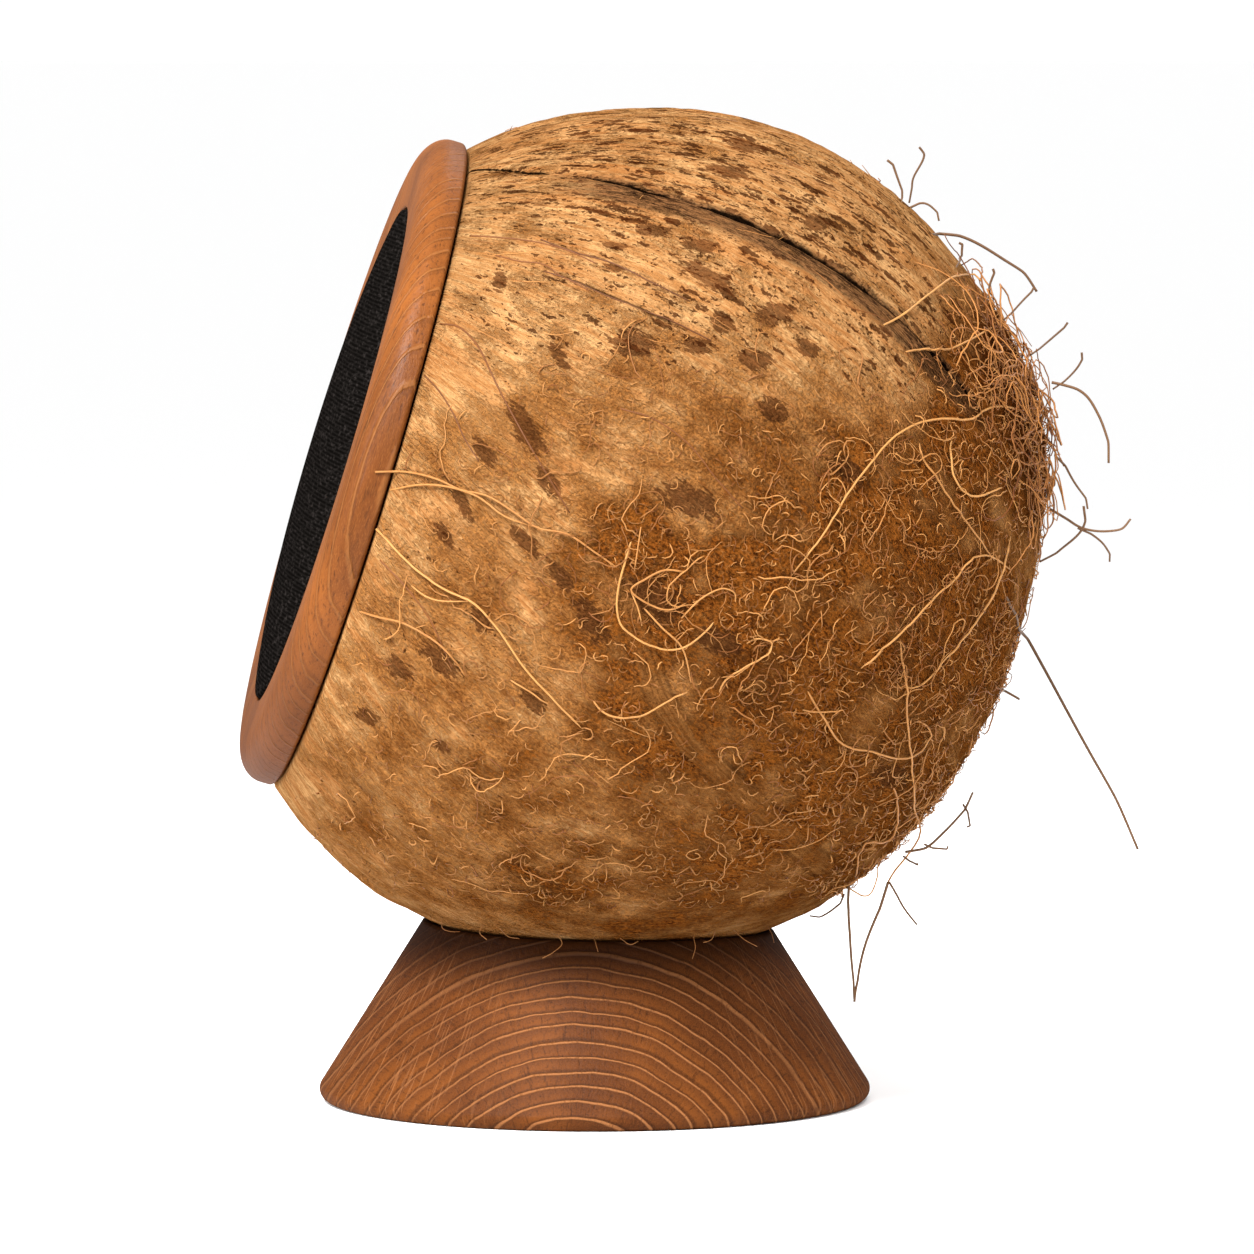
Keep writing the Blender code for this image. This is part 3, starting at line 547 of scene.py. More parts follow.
def blobField(pixels, blobs):
    # the largest of several soft ellipses
    total = np.zeros(pixels.shape[:-1])
    for x, y, halfWidth, halfHeight, amount in blobs:
        reach = np.hypot((pixels[..., 0] - x) / halfWidth, (pixels[..., 1] - y) / halfHeight)
        total = np.maximum(total, amount * (1 - fade(0.35, 1.3, reach)))
    return total


def patchField(pixels):
    # 1 at the middle of a patch, 0 at its edge, down to -1 outside
    total = np.full(pixels.shape[:-1], -1.0)
    for x, y, halfLength, halfWidth, tilt in husk["patches"]:
        cos, sin = math.cos(math.radians(tilt)), math.sin(math.radians(tilt))
        across, down = pixels[..., 0] - x, pixels[..., 1] - y
        reach = np.hypot((across * cos + down * sin) / halfLength, (down * cos - across * sin) / halfWidth)
        total = np.maximum(total, 1 - reach)
    return total


def hiddenPatchField(way):
    # the same for patches strewn over the sides that the photograph doesn't show
    draw = np.random.default_rng(husk["seed"])
    polar, longitude = anglesOf(way)
    total = np.full(way.shape[:-1], -1.0)
    for _ in range(husk["hiddenPatches"]):
        middlePolar, middleLongitude = draw.uniform(0.7, 2.3), draw.uniform(1.7, 5.2)
        halfLength, halfWidth = draw.uniform(2.0, 5.5), draw.uniform(0.8, 2.0)
        along = (polar - middlePolar) * shell["pole"]
        across = wrapped(longitude - middleLongitude) * shellSize * np.sin(polar)
        total = np.maximum(total, 1 - np.hypot(along / halfLength, across / halfWidth))
    return total


def fieldsAt(way):
    # felt, spots, pale skin and patches: as photographed on the near side, by rule on the far side
    points, outward = shellSurface(way)
    near = fade(-0.3, -0.1, outward @ toCamera)
    pixels = pixelsOf(points)
    polar = np.degrees(anglesOf(way)[0])
    drift = smoothNoise(way * 3.1, 21)
    farFelt = np.clip(fade(62, 100, polar + 22 * drift) * (0.75 + 0.4 * smoothNoise(way * 6, 22)), 0, 1)
    felt = near * blobField(pixels, husk["felt"]) + (1 - near) * farFelt
    felt = np.clip(felt * (1 + 0.5 * smoothNoise(way * 9, 24) + 0.35 * smoothNoise(way * 22, 25)), 0, 1)
    spots = near * blobField(pixels, husk["spots"]) + (1 - near) * (1 - farFelt) * 0.8
    farPale = fade(0.1, 0.8, smoothNoise(way * 4, 23)) * (1 - farFelt)
    pale = near * blobField(pixels, husk["pale"]) + (1 - near) * farPale
    patches = near * patchField(pixels) + (1 - near) * hiddenPatchField(way)
    return felt, spots, pale, patches


# The husk's finish

huskColours = {
    # each base: its pattern, low, high, dark and light; each tint: pattern, low, high, share, colour
    "skin": (
        ("streak", 0.36, 0.64, (190, 141, 91), (240, 202, 150)),
        ("broad", 0.46, 0.64, 0.5, (194, 134, 78)), ("blotch", 0.52, 0.7, 0.5, (158, 106, 60)),
        ("thread", 0.53, 0.7, 0.6, (124, 76, 40)), ("thread", 0.46, 0.3, 0.55, (244, 206, 156)),
    ),
    "pale": (("streak", 0.35, 0.7, (214, 168, 114), (246, 212, 164)),),
    "rough": (
        ("crumb", 0.39, 0.61, (138, 86, 38), (230, 168, 100)),
        ("blotch", 0.5, 0.68, 0.5, (150, 94, 48)), ("streak", 0.48, 0.6, 0.5, (232, 178, 116)),
        ("streak", 0.46, 0.36, 0.45, (116, 68, 32)),
    ),
    # the felt is lightest on high crumb and darkest on low crumb, in the hollows of its bump: partly its
    # own brown tone, partly painted shade in the hollows
    "felt": (
        ("crumb", 0.39, 0.63, (104, 59, 23), (196, 121, 50)),
        ("blotch", 0.42, 0.64, 0.65, (202, 132, 60)), ("tangled", 0.52, 0.38, 0.6, (106, 64, 30)),
        ("crumb", 0.42, 0.28, 1.0, (48, 26, 11)),
    ),
    "patch": (
        ("crumb", 0.34, 0.66, (98, 62, 36), (136, 92, 58)), ("thread", 0.44, 0.32, 0.6, (176, 124, 74)),
    ),
    "weathered": (("thread", 0.38, 0.62, (62, 44, 32), (156, 118, 84)),),
    "band": (("lane", 0.36, 0.64, (146, 98, 54), (206, 152, 94)),),
    "scribble": (206, 150, 90), "tuft": (104, 54, 22), "spot": (82, 45, 22), "split": (12, 8, 6),
    "secondSplit": (48, 36, 26), "fineSplit": (60, 38, 22), "bandEdge": (74, 44, 22),
}

huskSpots = (((1.15, 1.15, 0.36), 0.56), ((0.55, 0.55, 0.17), 0.46), ((1.9, 1.9, 0.8), 0.42))  # scale, size


def wandering(vector, scale, detail, reach):
    # a vector pushed about by noise
    noise = node("TexNoise", {"Vector": vector, "Scale": scale, "Detail": detail}, "Color")
    return vectorMaths("MULTIPLY_ADD", noise, (reach, reach, reach), vector)


def huskFinish():
    # streaked skin turns rough and then felted where the felt field plus noise passes smooth steps,
    # and patches, spots, splits and the band are laid over it by steps of their own fields and noise
    finish, shader = newFinish("hairyHusk")
    paints = huskColours
    grain = attribute("grain")
    felt, spots, pale = parts(attribute("regions"))
    patch, grey, tuft = parts(attribute("marks"))
    split, fineSplit, splitShare = parts(attribute("splits"))
    band, bandLength, fineShare = parts(attribute("band"))
    broad = cloudy(grain, (0.22, 0.22, 0.03), 3)
    streak = cloudy(grain, (1.1, 1.1, 0.17), 4, 0.65)
    thread = cloudy(grain, (4.4, 4.4, 0.8), 3, 0.6, 0.3)
    blotch = cloudy(grain, (0.35, 0.35, 0.22), 4, 0.65, 0.4)
    crumb = cloudy(grain, (2.4, 2.4, 1.7), 3, 0.6)
    tangled = cloudy(grain, (0.16, 0.16, 0.12), 4, 0.7)
    lane = cloudy(joined(band * 2.6, bandLength * 0.07), detail=3)
    patterns = {
        "broad": broad, "streak": streak, "thread": thread, "blotch": blotch, "crumb": crumb,
        "tangled": tangled, "lane": lane,
    }

    paleShare = pale * ramp(blotch, 0.35, 0.6, 0.3, 0.8)
    skin = mixed(paleShare, coloured(patterns, *paints["skin"]), coloured(patterns, *paints["pale"]))
    feltEdge = (streak - 0.5) * 1.1 + (crumb - 0.5) * 0.8 + (tangled - 0.5) * 1.8 + felt
    roughShare, feltShare = ramp(feltEdge, 0.0, 0.4), ramp(feltEdge, 0.38, 0.9)
    skin = mixed(roughShare * 0.85, skin, coloured(patterns, *paints["rough"]))
    net = {"Vector": wandering(grain, 1.3, 3.0, 2.2), "Scale": 0.85}
    net = node("TexVoronoi", net, feature="DISTANCE_TO_EDGE")
    scribble = ramp(net, 0.075, 0.02) * ramp(cloudy(grain, (0.9, 0.9, 0.9), 2), 0.46, 0.6) * feltShare
    feltSkin = mixed(scribble * 0.7, coloured(patterns, *paints["felt"]), paint(paints["scribble"]))
    colour = mixed(feltShare * 0.95, skin, feltSkin)
    colour = mixed(tuft * 0.8, colour, paint(paints["tuft"]))

    patchEdge = (cloudy(grain, (1.5, 1.5, 0.5), 4, 0.65) - 0.5) * 2.2 + patch
    speckles = ramp(cloudy(grain, (0.62, 0.62, 0.2), 4, 0.6), 0.61, 0.64)
    speckles = speckles * maths("MAXIMUM", spots, feltShare)
    patchShare = maths("MAXIMUM", ramp(patchEdge, 0.05, 0.16), speckles * 0.75)
    colour = mixed(patchShare * 0.86, colour, coloured(patterns, *paints["patch"]))
    moved = wandering(grain, 1.1, 2.0, 1.6)
    for scale, share in huskSpots:
        cells = node("TexVoronoi", {"Vector": vectorMaths("MULTIPLY", moved, scale), "Scale": 1.0})
        draw = parts(Wire(cells.socket.node.outputs["Color"]))[0]
        spot = ramp(ramp(draw, 0.22, 0.9) * share * spots - cells, 0.0, 0.07)
        colour = mixed(spot * 0.85, colour, paint(paints["spot"]))

    weatheredShare = grey * ramp(streak, 0.3, 0.6, 0.65, 1.0)
    colour = mixed(weatheredShare, colour, coloured(patterns, *paints["weathered"]))
    frayed = thread * 0.36 - 0.18
    splitDark = ramp(abs(split + 0.12 + frayed) / (splitShare + 0.12), 0.62, 0.36)
    splitDark = splitDark * ramp(splitShare, 0.05, 0.3)
    secondDark = ramp(abs(split + 1.15 + frayed), 0.3, 0.08) * splitShare
    fineDark = ramp(abs(fineSplit + frayed), 0.3, 0.08) * fineShare
    colour = mixed(splitDark * 0.97, colour, paint(paints["split"]))
    colour = mixed(secondDark * 0.55, colour, paint(paints["secondSplit"]))
    colour = mixed(fineDark * 0.8, colour, paint(paints["fineSplit"]))
    onBand = ramp(abs(band), 1.8, 1.5)
    bandShown = ramp(tangled + crumb * 0.3, 0.5, 0.72, 0.85, 0.3)
    colour = mixed(onBand * bandShown, colour, coloured(patterns, *paints["band"]))
    bandEdge = ramp(abs(abs(band) - 1.95), 0.5, 0.1, 0.0, 0.55) * bandShown
    colour = mixed(bandEdge, colour, paint(paints["bandEdge"]))

    height = thread * 0.4 + streak * 0.6 + crumb * (roughShare * 0.9 + 0.35)
    height = height * (feltShare * -0.6 + 1.0) + (crumb * 2.2 + blotch) * feltShare
    height = height - (splitDark + secondDark * 0.5) * 0.5 + lane * onBand * 0.25
    finishWith(shader, colour, height, ramp(crumb, 0.3, 0.7, 0.6, 0.8), 1.0, {"Specular IOR Level": 0.0})
    return finish


def mouthHeight(points):
    return (points - mouthCentre) @ mouthFrame[2]


def polarAtHeight(longitude, height, lift):
    # the polar angle where each meridian, at a lift, passes a height over the mouth plane, by halving
    low, high = np.full(longitude.shape, 0.2), np.full(longitude.shape, 2.2)
    for _ in range(26):
        polar = (low + high) / 2
        way = wayOf(polar, longitude)
        outside = mouthHeight(shellCentre + (way * radii + unit(way / radii) * lift) @ shellFrame) > height
        low, high = np.where(outside, polar, low), np.where(outside, high, polar)
    return (low + high) / 2


def gathered(longitude):
    # draws columns together at the two splits
    for bearing, pull, spread in shell["gathers"]:
        across = wrapped(longitude - math.radians(bearing))
        longitude = longitude - across * pull * np.exp(-((across / math.radians(spread)) ** 2))
    return longitude


def buildShell():
    columns, wall = shell["columns"], shell["wall"]
    longitude = gathered(roundAngles(columns) + math.radians(shell["splitMiddle"]))
    # the rows: the hollow from its pole to the rim, the rim's rounded edge, the outside to the far pole
    inner = (np.arange(shell["innerRows"]) / shell["innerRows"])[::-1, None]
    innerRim = polarAtHeight(longitude, shell["rimEdge"][0][0], -wall)
    innerWay = wayOf(innerRim + (np.pi - innerRim) * inner, longitude)
    edges = []
    for height, lift in shell["rimEdge"]:
        edges.append(shellSurface(wayOf(polarAtHeight(longitude, height, lift), longitude), lift)[0])
    share = (np.arange(shell["rows"]) / shell["rows"])[:, None]
    rimPolar = polarAtHeight(longitude, shell["rimHeight"], 0.0)
    outer = rimPolar + (np.pi - rimPolar) * share
    # the columns lean with the long split where they are near it
    drift = np.interp(np.degrees(outer), *np.array(shell["splitRoute"]).T) - shell["splitMiddle"]
    near = bells(wrapped(longitude - math.radians(shell["splitMiddle"])), ((1.0, 0.0, 0.26),))
    outerWay = wayOf(outer, longitude + np.radians(drift) * near * fade(0.0, 0.1, share))
    felt, spots, pale, patches = fieldsAt(outerWay)
    outside = shellSurface(outerWay, 0.0, reliefAt(outerWay, felt))[0]
    farPole = np.array([0.0, 0.0, -1.0])
    poles = [
        shellSurface(farPole, -wall)[0], shellSurface(farPole, 0.0, reliefAt(farPole, np.array(1.0)))[0],
    ]
    rows = np.concatenate([shellSurface(innerWay, -wall)[0], np.stack(edges), outside])
    way = np.concatenate([innerWay, np.repeat(outerWay[:1], len(edges), 0), outerWay])
    within = len(rows) - len(outside)

    def whole(values, inner=0.0):
        # a field of the outside, or of all rows, carried to every point, with one value within
        hidden = np.full((len(rows) - len(values), columns), inner)
        return np.concatenate([hidden.ravel(), values.ravel(), [inner, values[-1].mean()]])

    across, along = acrossRoute(way, shell["splitRoute"])
    fineAcross, fineAlong = acrossRoute(way, shell["fineSplitRoute"])
    bandAcross, bandAlong = bandAt(way)
    polar, bearing = np.degrees(anglesOf(outerWay))
    tuft = between(polar, *shell["tuftPolar"]) * between(bearing, *shell["tuftBearing"])
    grey = between(across[within:], *shell["greyAcross"]) * along[within:]
    grey = grey * fade(*shell["greyPolar"], polar)
    splitShare = along * deepest(np.degrees(anglesOf(way)[0]))
    attributes = {
        "grain": np.concatenate([grainOf(way).reshape(-1, 3), grainOf(np.stack([farPole, farPole]))]),
        "regions": np.stack([whole(felt), whole(spots), whole(pale)], -1),
        "marks": np.stack([whole(patches, -1.0), whole(grey), whole(tuft)], -1),
        "splits": np.stack([whole(across), whole(fineAcross), whole(splitShare)], -1),
        "band": np.stack([whole(bandAcross, 9.0), whole(bandAlong), whole(fineAlong)], -1),
    }
    points = np.concatenate([rows.reshape(-1, 3), poles])
    skin = makePiece("husk_skin", points, closedGrid(len(rows), columns), huskFinish(), attributes)
    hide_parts("coconut_shell")


buildShell()
print("shell skinned")


# Fibres

fibres = {
    "seed": 5,
    "root": 0.12,  # how deep the ends start
    "taper": 0.45,
    "wobble": 0.35,
    "tuftPolar": (103, 113, 132, 146),
    "tuftBearing": (46, 60, 76, 94),
    "curls": {
        "count": 4600, "points": 6, "sides": 3, "length": (1.1, 4.2), "radius": (0.08, 0.14),
        "bend": (0.6, 4.2), "lift": (0.2, 0.85), "freeShare": 0.35,
    },
    "stubs": {
        "count": 4800, "points": 4, "sides": 3, "length": (0.7, 2.2), "radius": (0.06, 0.12),
        "bend": (0.1, 1.4), "lift": (0.15, 0.75), "freeShare": 0.6,
    },
    "wanderers": {
        "count": 620, "points": 14, "sides": 4, "length": (5.0, 15.0), "radius": (0.08, 0.14),
        "bend": (0.8, 4.5), "lift": (0.3, 1.2), "freeShare": 0.3,
    },
    "combed": {
        "count": 380, "points": 8, "sides": 3, "length": (3.0, 12.0), "radius": (0.06, 0.11),
        "bend": (0.0, 0.5), "lift": (0.0, 0.08), "freeShare": 0.0,
    },
    "tuft": {
        "count": 420, "points": 20, "sides": 4, "length": (8.0, 26.0), "radius": (0.1, 0.18),
        "bend": (1.5, 7.5), "lift": (0.4, 3.2), "freeShare": 0.15,
    },
}


def fibreFinish(name, dark, light):
    # from dark to light by each fibre's tone, and a little by noise along it
    finish, shader = newFinish(name)
    uneven = cloudy(placeOnObject(), (900, 900, 900), 2)
    share = uneven * 0.5 - 0.25 + attribute("tone", "Fac")
    colour = mixed(share, paint(dark), paint(light))
    finishWith(shader, colour, uneven * 0.05, 0.5, 0.5, {"Specular IOR Level": 0.15})
    return finish


def fibreBundle(name, routes, radius, sides, tone, facing, finish):
    # round rods along many routes at once: a ring of points around each route point, ends closed
    count, steps = routes.shape[:2]
    along = unit(np.gradient(routes, axis=1))
    side = unit(np.cross(along, facing))
    up = np.cross(side, along)
    angle = roundAngles(sides)[:, None]
    ring = side[:, :, None] * np.cos(angle) + up[:, :, None] * np.sin(angle)
    points = routes[:, :, None] + ring * radius[:, :, None, None]
    first, corner = np.arange(count)[:, None] * steps * sides, np.arange(sides)
    quads = (first[..., None] + gridFaces(steps, sides)).reshape(-1, 4)
    faces = [quads[:, ::-1], first + corner, (first + (steps - 1) * sides + corner)[:, ::-1]]
    makePiece(name, points, faces, finish, {"tone": np.repeat(tone, steps * sides)})


def drawWays(draw, count, weigh):
    # directions all over the ball, kept by chance with the given weight
    way = unit(draw.normal(size=(count * 14, 3)))
    kept = way[draw.random(len(way)) < weigh(way)]
    return kept[:count]


def freeOfParts(points):
    # true for routes that stay clear of the foot, the ring and the inlet
    atFoot = (points[..., 2] < 34) & (np.hypot(points[..., 0], points[..., 1]) < 36)
    return ~(atFoot | (inletDistance(points) < 10) | (mouthHeight(points) > -0.6)).any(axis=1)


def growOver(draw, ways, kind, heading=None):
    # routes that wander over the surface from a start, rooted in the skin, arched or with a free end
    count, steps = len(ways), kind["points"]
    length = draw.uniform(*kind["length"], count)
    turnBy = draw.uniform(*kind["bend"], count) * draw.choice([-1, 1], count)
    start = draw.uniform(0, 2 * np.pi, count) if heading is None else heading
    t = np.linspace(0, 1, steps)
    wobble = np.cumsum(draw.normal(0, fibres["wobble"], (count, steps)), axis=1)
    angle = start[:, None] + turnBy[:, None] * t + wobble * np.minimum(np.abs(turnBy), 1.0)[:, None]
    step = (length / (steps - 1))[:, None]
    east = unit(np.cross(np.array([0, 0, 1.0]), ways))
    south = np.cross(east, ways)
    south = np.where(south[:, 2:3] > 0, -south, south)
    down = np.cumsum(step * np.cos(angle), axis=1)
    right = np.cumsum(step * np.sin(angle), axis=1)
    offset = down[..., None] * south[:, None] + right[..., None] * east[:, None]
    way = unit(ways[:, None] + offset / shellSize)
    lift = draw.uniform(*kind["lift"], count)[:, None]
    free = draw.random(count)[:, None] < kind["freeShare"]
    arch = np.where(free, t**1.2, np.sin(np.pi * t) ** 0.8)
    height = arch * (lift + fibres["root"]) - fibres["root"]
    routes, outward = shellSurface(way, height, reliefAt(way, fieldsAt(way)[0]))
    thick = draw.uniform(*kind["radius"], count)[:, None] * (1 - fibres["taper"] * t)
    keep = freeOfParts(routes)
    return routes[keep], thick[keep], outward[keep]


def feltWeight(way):
    offBand = fade(1.6, 2.6, np.abs(bandAt(way)[0]))
    return (0.004 + 0.996 * np.clip(fieldsAt(way)[0], 0, 1) ** 1.2) * (0.15 + 0.85 * offBand)


def skinWeight(way):
    return np.clip(1 - fieldsAt(way)[0], 0.05, 1)


def tuftWeight(way):
    polar, bearing = np.degrees(anglesOf(way))
    return between(polar, *fibres["tuftPolar"]) * between(bearing, *fibres["tuftBearing"])


def alongGrain(draw, count):
    return draw.normal(0, 0.18, count)


def growFibres():
    draw = np.random.default_rng(fibres["seed"])
    golden = fibreFinish("goldenCoir", (146, 92, 46), (232, 178, 112))
    rusty = fibreFinish("rustyCoir", (132, 80, 38), (228, 168, 102))
    plans = (
        ("curls", feltWeight, None, golden), ("stubs", feltWeight, None, golden),
        ("wanderers", feltWeight, None, golden), ("combed", skinWeight, alongGrain, golden),
        ("tuft", tuftWeight, None, rusty),
    )
    for name, weigh, heading, finish in plans:
        kind = fibres[name]
        ways = drawWays(draw, kind["count"], weigh)
        routes, radius, outward = growOver(draw, ways, kind, heading and heading(draw, len(ways)))
        tone = draw.uniform(0, 1, len(routes))
        fibreBundle("coir_" + name, routes, radius, kind["sides"], tone, outward, finish)
    print("fibres grown")


growFibres()


# Single strands as photographed: pixels, lift in the middle, thickness

strands = {
    "samples": 34,
    "lift": 0.55,
    "root": 0.2,  # how deep the ends start
    "ringGap": 0.25,
    "taper": 0.2,
    "fringeSlope": 0.72,
    "seed": 3,
    "sides": 6,
    # radius, share of the lift, dark and light of each kind
    "kinds": {
        "lying": (0.17, 1.0, (178, 120, 62), (240, 190, 124)),
        "seams": (0.14, 0.0, (84, 50, 26), (150, 100, 58)),
        "fringe": (0.09, 0.0, (126, 82, 46), (200, 150, 98)),
        "flying": (0.235, 1.0, (104, 80, 60), (142, 114, 90)),
    },
    # each route as its x and y, one after the other
    "lying": (
        (375, 472, 405, 472, 442, 481, 461, 490, 488, 496, 515, 512, 539, 528, 568, 534, 595, 552,
         622, 571),
        (390, 490, 424, 485, 453, 488, 477, 496, 509, 518, 539, 528),
        (376, 529, 402, 555, 424, 574, 453, 593, 472, 601, 490, 619, 509, 644, 523, 665, 552, 697,
         587, 736),
        (411, 585, 434, 598, 469, 602),
        (357, 611, 381, 617, 407, 623, 426, 633, 448, 649, 465, 677),
        (509, 680, 528, 689, 549, 705),
        (592, 700, 600, 710, 622, 717, 640, 715, 667, 700, 690, 691),
        (641, 526, 636, 559, 634, 572),
        (632, 538, 625, 562, 619, 585, 617, 608, 621, 624, 633, 635, 652, 645, 673, 649, 690, 643,
         707, 629, 717, 618),
        (687, 572, 663, 570, 646, 578, 631, 589, 646, 602, 669, 609, 688, 602),
        (680, 619, 694, 603, 711, 591, 723, 588, 734, 593, 735, 604),
        (631, 591, 638, 608, 642, 626),
        (642, 606, 661, 626, 679, 643, 692, 685),
        (719, 694, 726, 679, 744, 666, 769, 648, 771, 643, 761, 638, 743, 643),
        (1020, 412, 997, 406, 965, 421, 938, 420, 913, 425, 889, 440, 870, 463, 847, 494, 834, 514,
         816, 540, 788, 583),
        (951, 440, 949, 465, 954, 486, 964, 495, 1002, 487),
        (919, 440, 922, 460, 939, 488, 959, 516, 977, 539, 995, 562),
        (860, 670, 895, 634, 923, 608, 951, 580, 972, 557, 984, 555, 1010, 570),
        (1010, 534, 1000, 565, 990, 593, 969, 629, 939, 664, 910, 687, 899, 686),
        (899, 636, 903, 670, 905, 721, 909, 772, 913, 809, 918, 828, 908, 851, 893, 874, 889, 883),
        (891, 784, 897, 799, 893, 826, 885, 837, 864, 841, 857, 853, 850, 883),
        (849, 889, 864, 893, 879, 862),
        (806, 689, 821, 715, 839, 741, 872, 749, 898, 755, 923, 746, 931, 733, 923, 723, 910, 721),
        (801, 710, 822, 710, 842, 709),
        (879, 328, 901, 316, 928, 295, 960, 275, 971, 274, 983, 281),
        (903, 353, 922, 350, 942, 351, 966, 342, 987, 330, 997, 325),
    ),
    "seams": (
        (440, 324, 457, 326, 474, 341, 491, 372, 501, 393, 525, 437, 550, 479, 570, 513),
        (470, 236, 505, 238, 549, 245, 572, 252, 596, 263),
        (544, 272, 577, 282, 611, 298, 636, 307, 663, 317, 684, 327, 711, 341),
        (496, 256, 520, 262, 541, 264, 566, 279, 590, 292),
        (424, 375, 440, 392, 455, 416, 466, 440, 480, 462),
        (541, 240, 575, 252, 610, 262, 648, 280, 690, 300),
        (620, 408, 655, 420, 690, 446, 715, 478, 742, 508),
        (380, 560, 410, 590, 436, 630, 452, 668),
    ),
    # hairs that hang from the shell over the foot's rim
    "fringe": (
        (442, 917, 443, 928, 452, 931, 460, 931),
        (557, 934, 562, 943, 554, 951, 543, 957),
        (594, 937, 596, 944, 598, 951),
        (693, 935, 695, 946, 692, 957),
        (733, 928, 743, 937, 756, 944),
        (766, 922, 770, 930, 772, 938),
        (715, 930, 711, 938, 703, 941),
        (500, 928, 508, 936, 519, 938),
        (620, 938, 631, 944, 638, 941),
        (484, 924, 480, 932, 487, 939),
    ),
    "flying": (
        (906, 853, 924, 845, 941, 830, 964, 805, 974, 793),
        (889, 883, 874, 914, 862, 946, 855, 989, 855, 1003),
        (850, 883, 847, 899, 848, 933, 851, 971, 855, 1000),
        (964, 805, 966, 816, 968, 828),
        (925, 845, 937, 846, 949, 847),
        (904, 857, 911, 860, 918, 864),
        (890, 883, 901, 904, 918, 926),
        (845, 895, 822, 912, 810, 917),
        (888, 159, 895, 180, 903, 202),
        (920, 146, 922, 155, 910, 185, 910, 202),
        (910, 207, 922, 206, 940, 220),
        (932, 232, 962, 240, 1003, 263, 1024, 277, 1038, 291),
        (1035, 287, 1018, 304, 1003, 321),
        (960, 242, 959, 254, 959, 266),
        (994, 268, 986, 291, 986, 304),
        (1069, 322, 1048, 340, 1028, 357),
        (1083, 352, 1075, 367, 1054, 389),
        (1053, 382, 1062, 385, 1081, 395, 1095, 416, 1104, 440, 1110, 463),
        (1056, 455, 1071, 483, 1084, 501, 1089, 509),
        (1085, 506, 1079, 528, 1056, 550, 1041, 562),
        (1051, 509, 1079, 528, 1104, 531, 1120, 528, 1132, 519),
        (1079, 528, 1099, 543, 1111, 562),
        (997, 687, 1008, 693, 1020, 700),
        (1002, 590, 1020, 629, 1046, 677, 1081, 741, 1117, 805, 1139, 850),
    ),
}


def smoothRoute(knots, count):
    # a curve through all knots: each span blends its ends and the slopes there
    knots = np.array(knots, float).reshape(-1, 2)
    place = np.concatenate([[0], np.cumsum(np.linalg.norm(np.diff(knots, axis=0), axis=1))])
    slope = np.gradient(knots, place, axis=0)
    at = np.linspace(0, place[-1], count)
    i = np.clip(np.searchsorted(place, at, side="right") - 1, 0, len(knots) - 2)
    span = (place[i + 1] - place[i])[:, None]
    t = (at - place[i])[:, None] / span
    start = (2 * t**3 - 3 * t**2 + 1) * knots[i] + (t**3 - 2 * t**2 + t) * span * slope[i]
    return start + (3 * t**2 - 2 * t**3) * knots[i + 1] + (t**3 - t**2) * span * slope[i + 1]


def underPixels(pixels, lift):
    # where the rays of pixels meet the raised shell or the ring's side, or pass closest to the shell
    rays = pixelRays(pixels)
    direction = (rays @ shellFrame.T) / radii
    origin = ((lensAt - shellCentre) @ shellFrame.T) / radii
    a, b, c = (direction**2).sum(-1), direction @ origin, origin @ origin - 1
    root = b * b - a * c
    hit = (-b - np.sqrt(np.maximum(root, 0))) / a
    points = lensAt + rays * hit[..., None]
    way = unit(((points - shellCentre) @ shellFrame.T) / radii)
    on = fade(-1e-9, 1e-9, root)[..., None]
    surface, outward = shellSurface(way, lift, reliefAt(way, fieldsAt(way)[0]))
    points = on * surface + (1 - on) * (points + outward * np.asarray(lift)[..., None])
    side, origin = rays @ mouthFrame.T, (lensAt - mouthCentre) @ mouthFrame.T
    a, b = (side[..., :2] ** 2).sum(-1), side[..., :2] @ origin[:2]
    c = origin[:2] @ origin[:2] - (mouth["ringRadius"] + strands["ringGap"]) ** 2
    ringHit = (-b - np.sqrt(np.maximum(b * b - a * c, 0))) / a
    onRing = lensAt + rays * ringHit[..., None]
    over = fade(-0.6, 0.4, mouthHeight(onRing))[..., None]
    return over * onRing + (1 - over) * points, outward


def layStrands():
    count = strands["samples"]
    t = np.linspace(0, 1, count)
    arch = np.minimum(1, 5 * np.minimum(t, 1 - t)) * (strands["lift"] + strands["root"]) - strands["root"]
    draw = np.random.default_rng(strands["seed"])
    for name, (radius, raised, dark, light) in strands["kinds"].items():
        routes = np.stack([smoothRoute(route, count) for route in strands[name]])
        points, outward = underPixels(routes, np.broadcast_to(arch * raised, routes.shape[:2]))
        if name == "fringe":
            hang = (routes - routes[:, :1]) * view["pixelSize"]
            forward = 0.3 + strands["fringeSlope"] * np.maximum(hang[..., 1:], 0)
            points = points[:, :1] + hang[..., :1] * viewRight - hang[..., 1:] * viewUp + forward * toCamera
        lengths = np.linalg.norm(np.diff(points, axis=1), axis=2).sum(1)
        thick = radius * (0.7 + 0.3 * fade(5, 22, lengths))[:, None] * (1 - strands["taper"] * t)
        facing, tone = np.broadcast_to(toCamera, points.shape), draw.uniform(0.35, 1, len(points))
        finish = fibreFinish(name + "Coir", dark, light)
        fibreBundle("coir_" + name, points, thick, strands["sides"], tone, facing, finish)
    print("strands laid")


layStrands()


# Wood

